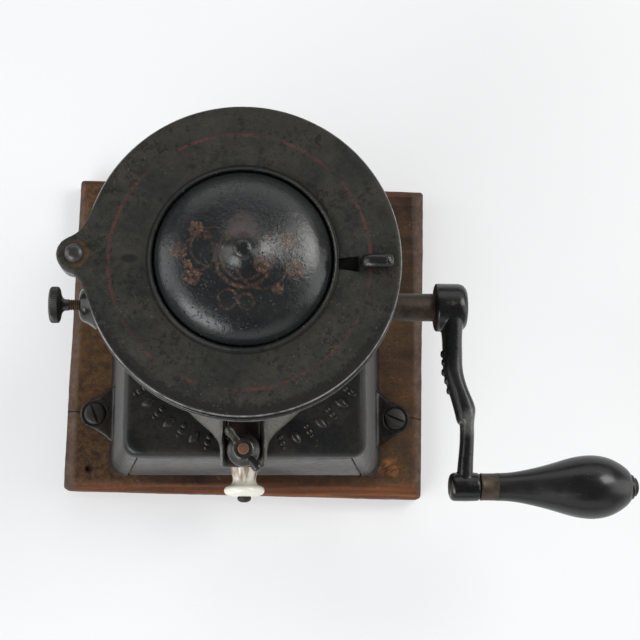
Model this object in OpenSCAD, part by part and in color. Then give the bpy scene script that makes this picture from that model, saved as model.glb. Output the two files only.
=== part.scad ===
// Hand-cranked coffee mill: cast box with a drawer, clamped hopper, pivoting lid, horizontal shaft.
// Millimetres. +Z is up, +X is the crank side, -Y is the drawer side. The origin is on the underside
// of the board, under the hopper's axis.

/* [Board] */
// Width of the board
board_w = 221; // [214:1:240]
// Depth of the board
board_d = 198; // [196:1:220]
// Thickness of the board
board_t = 20; // [18:1:30]
// Width of the board's chamfer
board_chamfer = 5; // [1:0.5:8]
// Turn of the board under the casting, degrees
board_skew = -1.4; // [-2:0.1:2]

/* [Box] */
// Width of the box at its foot
box_w = 163; // [158:1:168]
// Depth of the box at its foot
box_d = 170; // [166:1:172]
// Height of the box
box_h = 52; // [46:1:60]
// How far each side leans in
side_lean = 11; // [6:1:14]
// How far the front and back lean in
front_lean = 7; // [3:1:8]
// Thickness of the box's walls
box_wall = 4; // [3:0.5:5]

/* [Drawer] */
// Gap around the drawer front
drawer_gap = 0.4; // [0.3:0.1:1]
// Width of the drawer's tray
tray_w = 116; // [90:1:118]
// Thickness of the tray's tin
tray_t = 0.8; // [0.5:0.1:1.5]
// Diameter of the porcelain knob
knob_d = 24.8; // [20:0.2:30]

/* [Hopper] */
// Height of the shaft over the box top
shaft_rise = 52; // [48:1:60]
// Radius of the bowl inside its rim
bowl_r = 70.8; // [68:0.2:73]
// Height of the bowl over the shaft
bowl_rise = 102; // [96:1:112]
// Thickness of the bowl's wall
bowl_wall = 4; // [3:0.5:4]

/* [Lid] */
// Radius of the lid
lid_r = 76; // [73:0.5:77]
// Radius of the lid's dome
dome_r = 42.4; // [38:0.2:46]
// Height of the dome
dome_h = 19.4; // [12:0.2:26]

/* [Crank] */
// Distance between the shaft and the grip's axis
crank_len = 99; // [90:0.5:104]
// Outward step of the arm
crank_step = 5.5; // [3:0.5:8]
// Largest radius of the grip
grip_r = 17.2; // [13:0.2:18]
// Length of the grip
grip_len = 74.4; // [60:0.2:90]

/* [Burrs] */
// Gap between the two burrs
burr_gap = 1; // [0.95:0.05:2]
// Number of grooves in each burr
burr_grooves = 12; // [6:1:18]

/* [Hidden] */
$fn = 96;

sliver = 0.01;
fit_gap = 0.05;
black = "dimgray";
iron = "slategray";
rust = "sienna";

// Box.
box_z = board_t;
box_top = box_z + box_h;
box_corner = 9;
shoulder = 3;
foot_w = 1.5;
foot_h = 2.5;
roof_t = 4.5;
chute_r = 42;
lug_x = 92.2;
left_lug_y = -48;
right_lug_y = -50.5;
lug_h = 6;
rear_lug_y = box_d / 2 + 8.5;
screw_r = 2.1;
screw_head_r = 6.6;
screw_head_h = 2.6;
stud_x = -0.7;
stud_y = -75;
stud_r = 3.25;
stud_top = box_top + 16.5;
pad_r = 9;
leaf_arc_r = 71;
leaf_count = 9;

// Drawer: the front fills a tapered opening as high as the roof allows.
opening_top = box_top - 4;
opening_foot_w = 143;
opening_top_w = 124.5;
front_t = 4;
front_y = -box_d / 2;
front_run = front_lean / box_h;
knob_x = -0.3;
knob_z = box_z + 25;
knob_face_y = front_y + front_run * (knob_z - box_z);
knob_len = 18.3;
tray_back_y = 68;
tray_h = 40;
tray_z = box_z + 0.3;
rivet_r = 1.8;
rivet_x = [-46, -26, 26, 46];
rivet_z = box_z + 12;
guide_t = 3;
guide_gap = 1.2;

// Hopper and housing.
shaft_z = box_top + shaft_rise;
rim_z = shaft_z + bowl_rise;
foot_r = 60;
foot_t = 5;
drum_r = 36;
drum_left = -41;
drum_right = 36;
burr_room_r = 31;
burr_room_left = -36;
burr_wall = -5;
feed_r = 15.5;
feed_right = 31;
neck_r = 28;
neck_z = shaft_z + 36;
throat_x = 14;
throat_r = 13.5;
bead_r = 1.6;
// Levels where the casting's solids meet.
foot_cut = box_top + 20.5;
bowl_cut = neck_z + 4;
rim_cut = neck_z + 36;
ear_x = -80;
ear_y = 3.5;
ear_r = 9;
ear_drop = 11;
pivot_r = 3;
channel_w = 27;
channel_wall = 3.6;
channel_front = -84.5;
channel_floor = 4;
channel_rise = 8;

// Shaft parts along the shaft's axis.
shaft_r = 5.5;
journal_r = 7.7;
journal_left = 52;
bush_right = 77;
bush_r = 11;
shaft_left = -58;
screw_tip = -66;
button_room = screw_tip - 2.3;
boss_end = -90.7;
head_right = -100.7;
head_left = -106.7;
adjuster_r = 3;
adjuster_head_r = 10;
hub_left = 105;
hub_right = 122.6;
hub_r = 13.4;
grip_hub_left = 111;
grip_hub_right = 127.5;
grip_hub_r = 7.7;
ferrule_len = 9.8;
ferrule_r = 7.4;
arm_x = 114.3;
arm_half_top = 4.7;
arm_half_foot = 4.2;
handle_pin_r = 3;
grip_bore_r = 3.08;

ring_left = -13;
ring_r = 29;
ring_bore_r = 15.6;
turning_right = ring_left - burr_gap;
turning_left = turning_right - 8;
turning_r = 27;
groove_w = 1.6;
groove_deep = 1;
ring_screw_at = 22.5;

// Lid.
lid_x = -0.3;
lid_y = 2;
lid_z = rim_z + 0.3;
lid_t = 2.9;
brim_dip = 1.2;
boss_r = 5.2;
boss_h = 1.6;
tab_x = 55;
tab_len = 16;
tab_y = 0.2;
tab_w = 7.2;
tab_curl = 2.6;

// Turns +Z to +X.
module along_x(x = 0, y = 0, z = 0) {
  translate([x, y, z]) rotate([0, 90, 0]) children();
}

// A rod along X between two places.
module rod_x(x0, x1, r, y = 0, z = shaft_z) {
  along_x(x0, y, z) cylinder(h = x1 - x0, r = r);
}

// A tapering rod along X.
module cone_x(x0, x1, r0, r1, y = 0, z = shaft_z) {
  along_x(x0, y, z) cylinder(h = x1 - x0, r1 = r0, r2 = r1);
}

// A rod along Y between two places.
module rod_y(y0, y1, r, x, z) {
  translate([x, y0, z]) rotate([-90, 0, 0]) cylinder(h = y1 - y0, r = r);
}

// A rectangle with rounded corners, centred.
module round_rect(w, d, r) {
  square([w - 2 * r, d], center = true);
  square([w, d - 2 * r], center = true);
  for (sx = [-1, 1], sy = [-1, 1])
    translate([sx * (w / 2 - r), sy * (d / 2 - r)]) circle(r = r, $fn = 32);
}

module on_board() {
  rotate([0, 0, board_skew]) translate([1, 2.5, 0]) children();
}

module base_board() {
  color("saddlebrown") difference() {
    on_board() difference() {
      translate([-board_w / 2, -board_d / 2, 0]) cube([board_w, board_d, board_t]);
      for (side = [-1, 1]) {
        translate([side * board_w / 2, 0, board_t]) rotate([0, 45, 0])
          cube([board_chamfer * sqrt(2), board_d + 2, board_chamfer * sqrt(2)], center = true);
        translate([0, side * board_d / 2, board_t]) rotate([45, 0, 0])
          cube([board_w + 2, board_chamfer * sqrt(2), board_chamfer * sqrt(2)], center = true);
      }
    }
    // Empty hole of a lost corner screw.
    translate([-96, -81, board_t - 12]) cylinder(h = 13, r = 1.8);
    translate([91, -82, board_t - 15]) cylinder(h = 16, r = screw_r + fit_gap);
    for (p = lug_places()) translate([p[0], p[1], board_t - 15]) cylinder(h = 16, r = screw_r + fit_gap);
  }
}

// A slotted wood screw with its head's underside at z.
module slotted_screw(x, y, z, head_r, head_h, shank_len, slot_turn) {
  translate([x, y, z]) {
    difference() {
      union() {
        cylinder(h = head_h * 0.45, r = head_r);
        translate([0, 0, head_h * 0.45]) cylinder(h = head_h * 0.55, r1 = head_r, r2 = head_r * 0.78);
      }
      rotate([0, 0, slot_turn]) translate([-head_r - 1, -0.7, head_h - 1.1]) cube([2 * head_r + 2, 1.4, 2]);
    }
    translate([0, 0, -shank_len]) cylinder(h = shank_len + sliver, r = screw_r);
  }
}

module board_screw() {
  color(rust) slotted_screw(91, -82, board_t + 2.2, 3.6, 2, 15, 30);
}

function lug_places() = [[-lug_x, left_lug_y], [lug_x, right_lug_y], [0, rear_lug_y]];

module lug_screws() {
  color(iron) {
    slotted_screw(-lug_x, left_lug_y, box_z + lug_h, screw_head_r, screw_head_h, 19, 112);
    slotted_screw(lug_x, right_lug_y, box_z + lug_h, screw_head_r, screw_head_h, 19, -22);
    slotted_screw(0, rear_lug_y, box_z + lug_h, screw_head_r, screw_head_h, 19, 50);
  }
}

// The box's outer shape: rounded corners, all sides leaning in, and a small rounded shoulder.
module box_outside() {
  hull() {
    translate([0, 0, box_z]) linear_extrude(sliver) round_rect(box_w, box_d, box_corner);
    translate([0, 0, box_top - shoulder])
      linear_extrude(sliver)
        round_rect(box_w - 2 * lean_at(side_lean, box_h - shoulder),
                   box_d - 2 * lean_at(front_lean, box_h - shoulder), box_corner);
    translate([0, 0, box_top - sliver])
      linear_extrude(sliver)
        round_rect(box_w - 2 * side_lean - 3, box_d - 2 * front_lean - 2.4, box_corner);
  }
}

function lean_at(lean, h) = lean * h / box_h;

module box_inside() {
  inner_h = box_h - roof_t;
  hull() {
    translate([0, 0, box_z - 1])
      linear_extrude(sliver) round_rect(box_w - 2 * box_wall, box_d - 2 * box_wall, box_corner - 2);
    translate([0, 0, box_z + inner_h])
      linear_extrude(sliver)
        round_rect(box_w - 2 * box_wall - 2 * lean_at(side_lean, inner_h),
                   box_d - 2 * box_wall - 2 * lean_at(front_lean, inner_h), box_corner - 2);
  }
}

// The drawer front's outline seen from the front, grown or shrunk by a gap.
module drawer_outline(gap, z_low, z_high) {
  slope = (opening_foot_w - opening_top_w) / 2 / (opening_top - box_z);
  half_low = opening_foot_w / 2 - slope * (z_low - box_z) - gap;
  half_high = opening_foot_w / 2 - slope * (z_high - box_z) - gap;
  polygon([[-half_low, z_low], [half_low, z_low], [half_high, z_high], [-half_high, z_high]]);
}

// A side lug: a bell-shaped ear with its screw hole.
module side_lug(y) {
  reach = 9.2;
  translate([0, 0, box_z]) linear_extrude(lug_h) {
    translate([lug_x, y]) circle(r = reach);
    translate([lug_x, y])
      polygon([[-lug_x + box_w / 2 - 4, -17], [-7.5, -13], [-2, -8.7], [4, -8.2], [4, 8.2], [-2, 8.7],
               [-7.5, 13], [-lug_x + box_w / 2 - 4, 17]]);
  }
}

// Leaf-and-bead ornament raised on the roof, along an arc in front of the hopper.
module roof_ornament() {
  for (i = [0 : leaf_count - 1]) {
    a = -90 + (i - (leaf_count - 1) / 2) * 11.5;
    if (abs(a + 90) > 20)
      rotate([0, 0, a]) translate([leaf_arc_r, 0, box_top - 0.5]) {
        cylinder(h = 1.7, r1 = 3.4, r2 = 2.4, $fn = 24);
        translate([0, 6.2, 0]) cylinder(h = 1.4, r1 = 1.7, r2 = 1.1, $fn = 24);
      }
  }
}

module mill_box() {
  guide_x = tray_w / 2 + guide_gap;
  color(black) difference() {
    union() {
      difference() {
        union() {
          box_outside();
          // Narrow foot flange.
          translate([0, 0, box_z])
            linear_extrude(foot_h) round_rect(box_w + 2 * foot_w, box_d + 2 * foot_w, box_corner + 2);
          side_lug(right_lug_y);
          mirror([1, 0, 0]) side_lug(left_lug_y);
          translate([0, rear_lug_y, box_z]) cylinder(h = lug_h, r = 9);
          translate([-12, box_d / 2 - 4, box_z]) cube([24, 9, lug_h]);
        }
        box_inside();
      }
      // Pad under the clamping stud.
      translate([stud_x, stud_y, opening_top]) cylinder(h = box_top - opening_top, r = pad_r);
      // Drawer guides.
      for (side = [-1, 1])
        translate([side * (guide_x + guide_t / 2) - guide_t / 2, -70, box_z + 0.5])
          cube([guide_t, 147, box_h - roof_t]);
      roof_ornament();
      // Hooked lip that holds the back of the hopper's foot.
      translate([-14, foot_r + 0.3, box_top - 1]) cube([28, 6, foot_t + 5.3]);
      translate([-14, foot_r - 5, box_top + foot_t + 0.3]) cube([28, 8, 4]);
    }
    // Drawer opening.
    translate([0, -70, 0]) rotate([90, 0, 0]) linear_extrude(30) drawer_outline(0, box_z - 1, opening_top);
    // Way down for the ground coffee.
    translate([0, 0, box_top - roof_t - 2]) cylinder(h = roof_t + 4, r = chute_r);
    translate([stud_x, stud_y, opening_top - 1]) cylinder(h = 8, r = stud_r + fit_gap);
    for (p = lug_places())
      translate([p[0], p[1], box_z - 1]) cylinder(h = lug_h + 2, r = screw_r + fit_gap);
  }
}

module hopper_stud() {
  color(rust) {
    translate([stud_x, stud_y, opening_top + 0.1]) cylinder(h = stud_top - opening_top - 1.1, r = stud_r);
    translate([stud_x, stud_y, stud_top - 1]) cylinder(h = 1, r1 = stud_r, r2 = stud_r - 0.8);
  }
}

module wing_nut() {
  nut_z = box_top + channel_floor + 0.1;
  color(iron) translate([stud_x, stud_y, nut_z]) difference() {
    union() {
      cylinder(h = 6, r = 9.6);
      translate([0, 0, 6]) cylinder(h = 4, r1 = 9.6, r2 = 5.2);
      for (turn = [125, 305])
        rotate([0, 0, turn]) translate([5.5, 0, 7.4]) {
          translate([0, -1.6, 0]) cube([7.5, 3.2, 7]);
          translate([7.5, 0, 0]) cylinder(h = 7, r = 1.6, $fn = 24);
          translate([7.5, 0, 7]) sphere(r = 1.9, $fn = 24);
        }
    }
    translate([0, 0, -1]) cylinder(h = 14, r = stud_r + fit_gap);
  }
}

// Bowl profile, quarter-ellipse from the neck out to the rim.
bowl_steps = 9;
function bowl_arc(r0, r1, z0, z1) = [
  for (i = [0 : bowl_steps])
    [r0 + (r1 - r0) * sin(90 * i / bowl_steps), z0 + (z1 - z0) * (1 - cos(90 * i / bowl_steps))]
];
function reversed(list) = [for (i = [len(list) - 1 : -1 : 0]) list[i]];

// The hopper is one casting. It is drawn as four solids that meet on level planes: foot, housing,
// lower bowl and rim.
module bowl_between(low, high) {
  outer = bowl_arc(neck_r + bowl_wall, bowl_r + bowl_wall, neck_z - 8, rim_z);
  inner = bowl_arc(neck_r, bowl_r, neck_z, rim_z);
  rotate_extrude() intersection() {
    polygon(concat([[0, neck_z - 8]], outer, reversed(inner), [[0, neck_z]]));
    translate([0, low]) square([100, high - low]);
  }
}

module hopper_rim() {
  color(black) difference() {
    union() {
      bowl_between(rim_cut, rim_z + 1);
      // Rim bead.
      translate([0, 0, rim_z - bead_r])
        rotate_extrude() translate([bowl_r + bowl_wall - 0.6, 0]) circle(r = bead_r, $fn = 24);
      // Pivot ear.
      translate([ear_x, ear_y, rim_z - ear_drop]) cylinder(h = ear_drop, r = ear_r);
      translate([ear_x, ear_y - 6, rim_z - ear_drop]) cube([8, 12, ear_drop]);
    }
    translate([ear_x, ear_y, rim_z - ear_drop - 1]) cylinder(h = ear_drop + 2, r = pivot_r + fit_gap);
  }
}

module hopper_bowl() {
  color(black) bowl_between(bowl_cut, rim_cut);
}

// Foot plate with the flared front lug.
module foot_plate() {
  half = channel_w / 2;
  translate([0, 0, box_top]) {
    cylinder(h = foot_t, r = foot_r);
    linear_extrude(channel_floor) {
      polygon([[-41, -42], [-27, -54], [stud_x - half - 4, -61], [stud_x - half - 1, -67],
               [stud_x - half, -73], [stud_x + half, -73], [stud_x + half + 1, -67],
               [stud_x + half + 4, -61], [25, -54], [39, -42]]);
      translate([stud_x, (channel_front - 50) / 2]) round_rect(channel_w, -50 - channel_front, 5);
    }
  }
  // The lug's side walls, lower toward the front.
  for (side = [-1, 1])
    translate([stud_x + side * (half - channel_wall / 2) - channel_wall / 2, 0, box_top])
      rotate([90, 0, 90])
        linear_extrude(channel_wall)
          polygon([[-40, 0], [channel_front + 5, 0], [channel_front + 5, channel_floor + 2],
                   [-70, channel_rise], [-60, channel_rise + 2], [-40, channel_rise + 12]]);
}

// Ogee skirt between the foot and the housing.
module skirt() {
  rotate_extrude() polygon([
    [0, box_top], [foot_r - 4, box_top], [foot_r - 4, box_top + 5], [50, box_top + 8],
    [43, box_top + 14], [39, box_top + 22], [37, box_top + 32], [36, box_top + 44],
    [34, shaft_z + 10], [33, neck_z - 2], [0, neck_z - 2]
  ]);
}

module drum() {
  rod_x(drum_left, drum_right, drum_r);
}

// Room for everything above or below a level.
module above(z) {
  translate([-150, -150, z]) cube([300, 300, 200]);
}

module below(z) {
  translate([-150, -150, z - 200]) cube([300, 300, 200]);
}

// Chute under the burrs, from the housing down through the foot.
module chute() {
  translate([0, 0, box_top - 1]) cylinder(h = 24, r1 = chute_r, r2 = 31);
  intersection() {
    translate([0, 0, box_top + 20]) cylinder(h = shaft_rise - 20, r = 31);
    translate([burr_room_left, -burr_room_r, box_top])
      cube([burr_wall - burr_room_left, 2 * burr_room_r, shaft_rise]);
  }
}

module hopper_foot() {
  color(black) difference() {
    union() {
      foot_plate();
      skirt();
      drum();
    }
    above(foot_cut);
    chute();
    translate([stud_x, stud_y, box_top - 1]) cylinder(h = 8, r = stud_r + 0.4);
  }
}

module hopper_housing() {
  color(black) difference() {
    union() {
      skirt();
      bowl_between(neck_z - 9, bowl_cut);
      drum();
      // Right bearing boss.
      cone_x(drum_right - 1, 62, 24, 15);
      rod_x(60, bush_right - 1, 15);
      // Left boss, ringed, with a domed end.
      cone_x(-62, drum_left + 1, 12, 22);
      rod_x(-80, -60, 12);
      rod_x(-82, -77, 14);
      cone_x(-87, -82, 11.5, 13.5);
      cone_x(boss_end, -87, 8.5, 11.5);
    }
    below(foot_cut);
    chute();
    // Burr room, feed room, spring room and bush seat.
    rod_x(burr_room_left, burr_wall, burr_room_r);
    rod_x(burr_wall - 1, feed_right, feed_r);
    rod_x(feed_right - 1, journal_left, 10.5);
    rod_x(journal_left - sliver, bush_right + 1, bush_r + fit_gap);
    // Left journal with the button's guide, and the screw's thread.
    rod_x(button_room, burr_room_left + 1, shaft_r + 0.06);
    rod_x(boss_end - 1, button_room + 1, adjuster_r + 0.06);
    // Throat from the bowl down to the worm.
    translate([throat_x, 0, shaft_z]) cylinder(h = 50, r = throat_r);
    // Screw holes for the ring burr.
    for (turn = [30, 150, 270]) ring_screw_place(turn) cylinder(h = 14, r = 1.6 + fit_gap);
  }
}

module ring_screw_place(turn) {
  translate([burr_wall - sliver, 0, shaft_z]) rotate([turn, 0, 0]) translate([0, 0, ring_screw_at])
    rotate([0, 90, 0]) children();
}

module ring_burr() {
  color(iron) difference() {
    rod_x(ring_left, burr_wall, ring_r);
    rod_x(ring_left - 1, burr_wall + 1, ring_bore_r);
    for (i = [0 : burr_grooves - 1])
      translate([ring_left, 0, shaft_z]) rotate([i * 360 / burr_grooves + 12, 0, 0])
        translate([-1, -groove_w / 2, ring_bore_r - 2]) cube([1 + groove_deep, groove_w, ring_r]);
    for (turn = [30, 150, 270]) {
      ring_screw_place(turn) translate([0, 0, -9]) cylinder(h = 10, r = 1.6 + fit_gap);
      ring_screw_place(turn) translate([0, 0, -9]) cylinder(h = 4.2, r = 3.2);
    }
  }
}

module ring_burr_screws() {
  color(iron) for (turn = [30, 150, 270]) ring_screw_place(turn) difference() {
    union() {
      translate([0, 0, -4.8]) cylinder(h = 16, r = 1.6);
      translate([0, 0, -4.8]) mirror([0, 0, 1]) cylinder(h = 2, r = 3);
    }
    translate([-4, -0.4, -7.8]) cube([8, 0.8, 1.8]);
  }
}

module turning_burr() {
  color(iron) difference() {
    union() {
      rod_x(turning_left, turning_right, turning_r);
      rod_x(turning_left - 9, turning_left + 1, 10.5);
    }
    rod_x(turning_left - 10, turning_right + 1, shaft_r + 0.02);
    for (i = [0 : burr_grooves - 1])
      translate([turning_right, 0, shaft_z]) rotate([i * 360 / burr_grooves, 0, 0])
        translate([-groove_deep, -groove_w / 2, 13]) cube([1 + groove_deep, groove_w, turning_r]);
    translate([turning_left - 4.5, 0, shaft_z - 12]) cylinder(h = 24, r = 1.5 + 0.02);
  }
}

module burr_pin() {
  color(iron) translate([turning_left - 4.5, 0, shaft_z - 10]) cylinder(h = 20, r = 1.5);
}

// Helical strip round the shaft: a sector swept up and turned as it rises.
module helix_strip(r_in, r_out, spread, len, turns, slices_per_turn) {
  pts = 6;
  linear_extrude(height = len, twist = -360 * turns, slices = turns * slices_per_turn, segments = 1)
    polygon(concat(
      [for (i = [0 : pts]) [r_in * cos(spread * i / pts), r_in * sin(spread * i / pts)]],
      [for (i = [pts : -1 : 0]) [r_out * cos(spread * i / pts), r_out * sin(spread * i / pts)]]
    ));
}

worm_left = -1;
worm_right = 30;
module feed_worm() {
  color(iron) difference() {
    union() {
      rod_x(worm_left, worm_right, 8.4);
      along_x(worm_left + 1, 0, shaft_z) helix_strip(8, 14.6, 70, worm_right - worm_left - 8, 2, 12);
    }
    rod_x(worm_left - 1, worm_right + 1, shaft_r + 0.02);
    translate([worm_right - 3, 0, shaft_z - 10]) cylinder(h = 20, r = 1.5 + 0.02);
  }
}

module worm_pin() {
  color(iron) translate([worm_right - 3, 0, shaft_z - 8.2]) cylinder(h = 16.4, r = 1.5);
}

module burr_spring() {
  color("silver") along_x(worm_right + 1.1, 0, shaft_z) helix_strip(7.2, 9, 150, 19, 5, 12);
}

module bearing_bush() {
  color("peru") difference() {
    rod_x(journal_left, bush_right, bush_r);
    rod_x(journal_left - 1, bush_right + 1, journal_r + 0.06);
  }
}

module crankshaft() {
  color(rust) difference() {
    union() {
      rod_x(shaft_left, journal_left + 1, shaft_r);
      rod_x(journal_left + 1, hub_left, journal_r);
      rod_x(hub_left - 1, hub_right, shaft_r);
    }
    translate([turning_left - 4.5, 0, shaft_z - 10]) cylinder(h = 20, r = 1.5 + 0.02);
    translate([worm_right - 3, 0, shaft_z - 10]) cylinder(h = 20, r = 1.5 + 0.02);
    translate([hub_left + 8, 0, shaft_z - 15]) cylinder(h = 30, r = 1.6 + 0.02);
  }
}

module thrust_button() {
  color("silver") rod_x(screw_tip + 0.05, shaft_left - 0.05, shaft_r);
}

// Grind-setting screw with a knurled head.
module thumb_screw() {
  color(iron) difference() {
    union() {
      rod_x(head_right - 1, screw_tip - 0.02, adjuster_r);
      cone_x(head_right, head_right + 4, 7, 4.2);
      rod_x(head_left + 0.8, head_right, adjuster_head_r);
      cone_x(head_left, head_left + 0.8, adjuster_head_r - 0.8, adjuster_head_r);
    }
    for (i = [0 : 23])
      along_x(head_left - 1, 0, shaft_z) rotate([0, 0, i * 15]) translate([adjuster_head_r + 0.25, 0, 0])
        cylinder(h = 8, r = 0.7, $fn = 4);
  }
}

// Centre line of the arm in plan, with its outward step near the middle.
arm_steps = 12;
function ease(t) = t <= 0 ? 0 : (t >= 1 ? 1 : t * t * (3 - 2 * t));
function arm_centre(t) =
  arm_x + (crank_step + 1.7) * ease((t - 0.33) / 0.32) - 1.9 * ease((t - 0.68) / 0.32);
function arm_half(t) = arm_half_top + (arm_half_foot - arm_half_top) * t;
function arm_edge(side) = [
  for (i = [0 : arm_steps]) let (t = i / arm_steps)
     [arm_centre(t) + side * arm_half(t), -crank_len * t]
];

module crank_arm() {
  color(black) difference() {
    union() {
      intersection() {
        translate([0, 0, shaft_z - 20])
          linear_extrude(40) polygon(concat(arm_edge(-1), reversed(arm_edge(1))));
        rotate([90, 0, 90])
          linear_extrude(200)
            polygon([[0, shaft_z - 12], [-26, shaft_z - 9], [-crank_len, shaft_z - 7],
                     [-crank_len, shaft_z + 7], [-26, shaft_z + 9], [0, shaft_z + 12]]);
      }
      rod_x(hub_left, hub_right - 2.5, hub_r);
      cone_x(hub_right - 2.5, hub_right, hub_r, hub_r - 2.5);
      rod_x(grip_hub_left + 1, grip_hub_right, grip_hub_r, -crank_len);
      cone_x(grip_hub_left, grip_hub_left + 1, grip_hub_r - 1.5, grip_hub_r, -crank_len);
      // Raised beads on the arm's inner face.
      for (i = [0 : 4]) {
        bead_y = 26 + i * 5.2;
        bead_x = arm_centre(bead_y / crank_len);
        rod_x(bead_x - arm_half_top - 1.2, bead_x, 2.2, -bead_y);
      }
    }
    rod_x(hub_left - 1, hub_right + 1, shaft_r + 0.02);
    rod_x(grip_hub_left - 1, grip_hub_right + 1, handle_pin_r + 0.02, -crank_len);
    translate([hub_left + 8, 0, shaft_z - 15]) cylinder(h = 30, r = 1.6 + 0.02);
  }
}

module crank_pin() {
  color(rust) translate([hub_left + 8, 0, shaft_z - hub_r + 0.1]) cylinder(h = 2 * hub_r - 0.2, r = 1.6);
}

grip_left = grip_hub_right + 0.3 + ferrule_len;
grip_right = grip_left + grip_len;

module handle_pin() {
  color(iron) {
    rod_x(grip_hub_left, grip_right + 2.2, handle_pin_r, -crank_len);
    cone_x(grip_right + 1.2, grip_right + 2.4, 4.4, 3.2, -crank_len);
  }
}

module handle_washer() {
  color(iron) difference() {
    rod_x(grip_right + 0.3, grip_right + 1.2, 5, -crank_len);
    rod_x(grip_right, grip_right + 2, handle_pin_r + 0.02, -crank_len);
  }
}

module ferrule() {
  color("darkgoldenrod") difference() {
    rod_x(grip_hub_right + 0.3, grip_left, ferrule_r, -crank_len);
    rod_x(grip_hub_right, grip_left + 1, grip_bore_r, -crank_len);
  }
}

// Pear-shaped grip: an eased swell from the ferrule, then a rounded end.
grip_steps = 9;
grip_waist_r = 7.7;
function grip_swell(u) =
  grip_waist_r + (grip_r - grip_waist_r) * (u < 0.66 ? ease(u / 0.66) : 1);
function grip_end(t) = [grip_len * (0.66 + 0.34 * sin(t)), 5 + (grip_r - 5) * cos(t)];

module grip() {
  profile = concat(
    [[grip_bore_r, 0]],
    [for (i = [0 : grip_steps]) [grip_swell(0.66 * i / grip_steps), grip_len * 0.66 * i / grip_steps]],
    [for (i = [1 : grip_steps]) let (e = grip_end(90 * i / grip_steps)) [e[1], e[0]]],
    [[grip_bore_r, grip_len]]
  );
  color(black) along_x(grip_left, -crank_len, shaft_z) rotate_extrude() polygon(profile);
}

// Dome outline as shares of its radius and height: a steep shoulder, a flatter slope, a rise to the boss.
dome_shape = [
  [1, 0], [0.985, 0.09], [0.94, 0.25], [0.85, 0.42], [0.72, 0.55], [0.57, 0.64],
  [0.43, 0.715], [0.31, 0.79], [0.22, 0.87], [0.16, 0.94], [boss_r / dome_r, 1]
];
function dome_line(radius, height, base) = [for (p = dome_shape) [radius * p[0], base + height * p[1]]];

module lid() {
  ring_w = 2.4;
  top_z = lid_z + lid_t;
  boss_z = top_z + dome_h;
  color(black) difference() {
    union() {
      translate([lid_x, lid_y, 0]) rotate_extrude() polygon(concat(
        [[0, lid_z + dome_h - 2]],
        reversed(dome_line(dome_r - 3, dome_h - 2, lid_z)),
        [[lid_r - 0.8, lid_z], [lid_r, lid_z + 0.8], [lid_r, top_z - 1], [lid_r - 1.2, top_z]],
        [[lid_r - 4, top_z - brim_dip], [dome_r + 8, top_z - brim_dip]],
        [[dome_r + ring_w + 1, top_z - 0.8], [dome_r + ring_w, top_z + 0.5]],
        [[dome_r + 0.6, top_z + 0.5], [dome_r + 0.3, top_z - 0.6]],
        dome_line(dome_r, dome_h, top_z - 0.6),
        [[boss_r - 0.5, boss_z + 0.4], [boss_r - 1.4, boss_z + boss_h - 0.3], [0, boss_z + boss_h]]
      ));
      // Pivot ear.
      translate([ear_x, ear_y, lid_z]) cylinder(h = lid_t, r = ear_r);
      translate([0, 0, lid_z]) linear_extrude(lid_t - 0.2)
        polygon([
          [-69, -19], [-75, -7], [ear_x, ear_y - 8.8], [ear_x, ear_y + 8.8], [-75, 12.5], [-69, 24]
        ]);
      // Thumb tab with its curled end.
      translate([tab_x, tab_y + tab_w / 2, top_z - 2]) rotate([90, 0, 0]) linear_extrude(tab_w)
        polygon([
          [0, 0], [tab_len - 3, 0], [tab_len, 3.5], [tab_len, 7.5], [tab_len - 3, 8.5], [4, 5], [0, 3]
        ]);
      translate([tab_x + tab_len - 2, tab_y - tab_w / 2, top_z + 4.6])
        rotate([-90, 0, 0]) cylinder(h = tab_w, r = tab_curl, $fn = 32);
    }
    translate([ear_x, ear_y, lid_z - 1]) cylinder(h = lid_t + 2, r = pivot_r + 0.06);
    // Shallow mark left by the tab's core.
    translate([tab_x - 9, tab_y - 3.3, top_z - brim_dip - 0.9]) cube([8, 6.6, 3]);
  }
}

module lid_pivot() {
  pin_low = rim_z - ear_drop - 5.2;
  color(iron) translate([ear_x, ear_y, 0]) {
    translate([0, 0, pin_low]) cylinder(h = lid_z + lid_t - pin_low + 0.3, r = pivot_r);
    translate([0, 0, lid_z + lid_t + 0.2]) {
      cylinder(h = 1.4, r = 5.2);
      translate([0, 0, 1.4]) cylinder(h = 1.4, r1 = 5.2, r2 = 3.4);
      translate([0, 0, 2.8]) cylinder(h = 0.5, r1 = 3.4, r2 = 1.6);
    }
  }
}

module lid_pivot_nut() {
  color(iron) translate([ear_x, ear_y, rim_z - ear_drop - 4.3]) difference() {
    cylinder(h = 4.2, r = 6, $fn = 6);
    translate([0, 0, -1]) cylinder(h = 7, r = pivot_r + 0.02);
  }
}

module drawer_front() {
  z0 = box_z + 0.5;
  z1 = opening_top - drawer_gap;
  color(black) difference() {
    intersection() {
      translate([0, -60, 0]) rotate([90, 0, 0]) linear_extrude(40) drawer_outline(drawer_gap, z0, z1);
      rotate([90, 0, 90]) translate([0, 0, -100])
        linear_extrude(200)
          polygon([[front_y, box_z], [front_y + front_t, box_z],
                   [front_y + front_lean + front_t, box_top], [front_y + front_lean, box_top]]);
    }
    rod_y(front_y - 5, -70, 2.1, knob_x, knob_z);
    // Spot face that the knob's washer sits on.
    rod_y(front_y - 5, knob_face_y, 8.8, knob_x, knob_z);
    for (x = rivet_x) rod_y(front_y + 1.6, -70, rivet_r + 0.02, x, rivet_z);
  }
}

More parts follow.
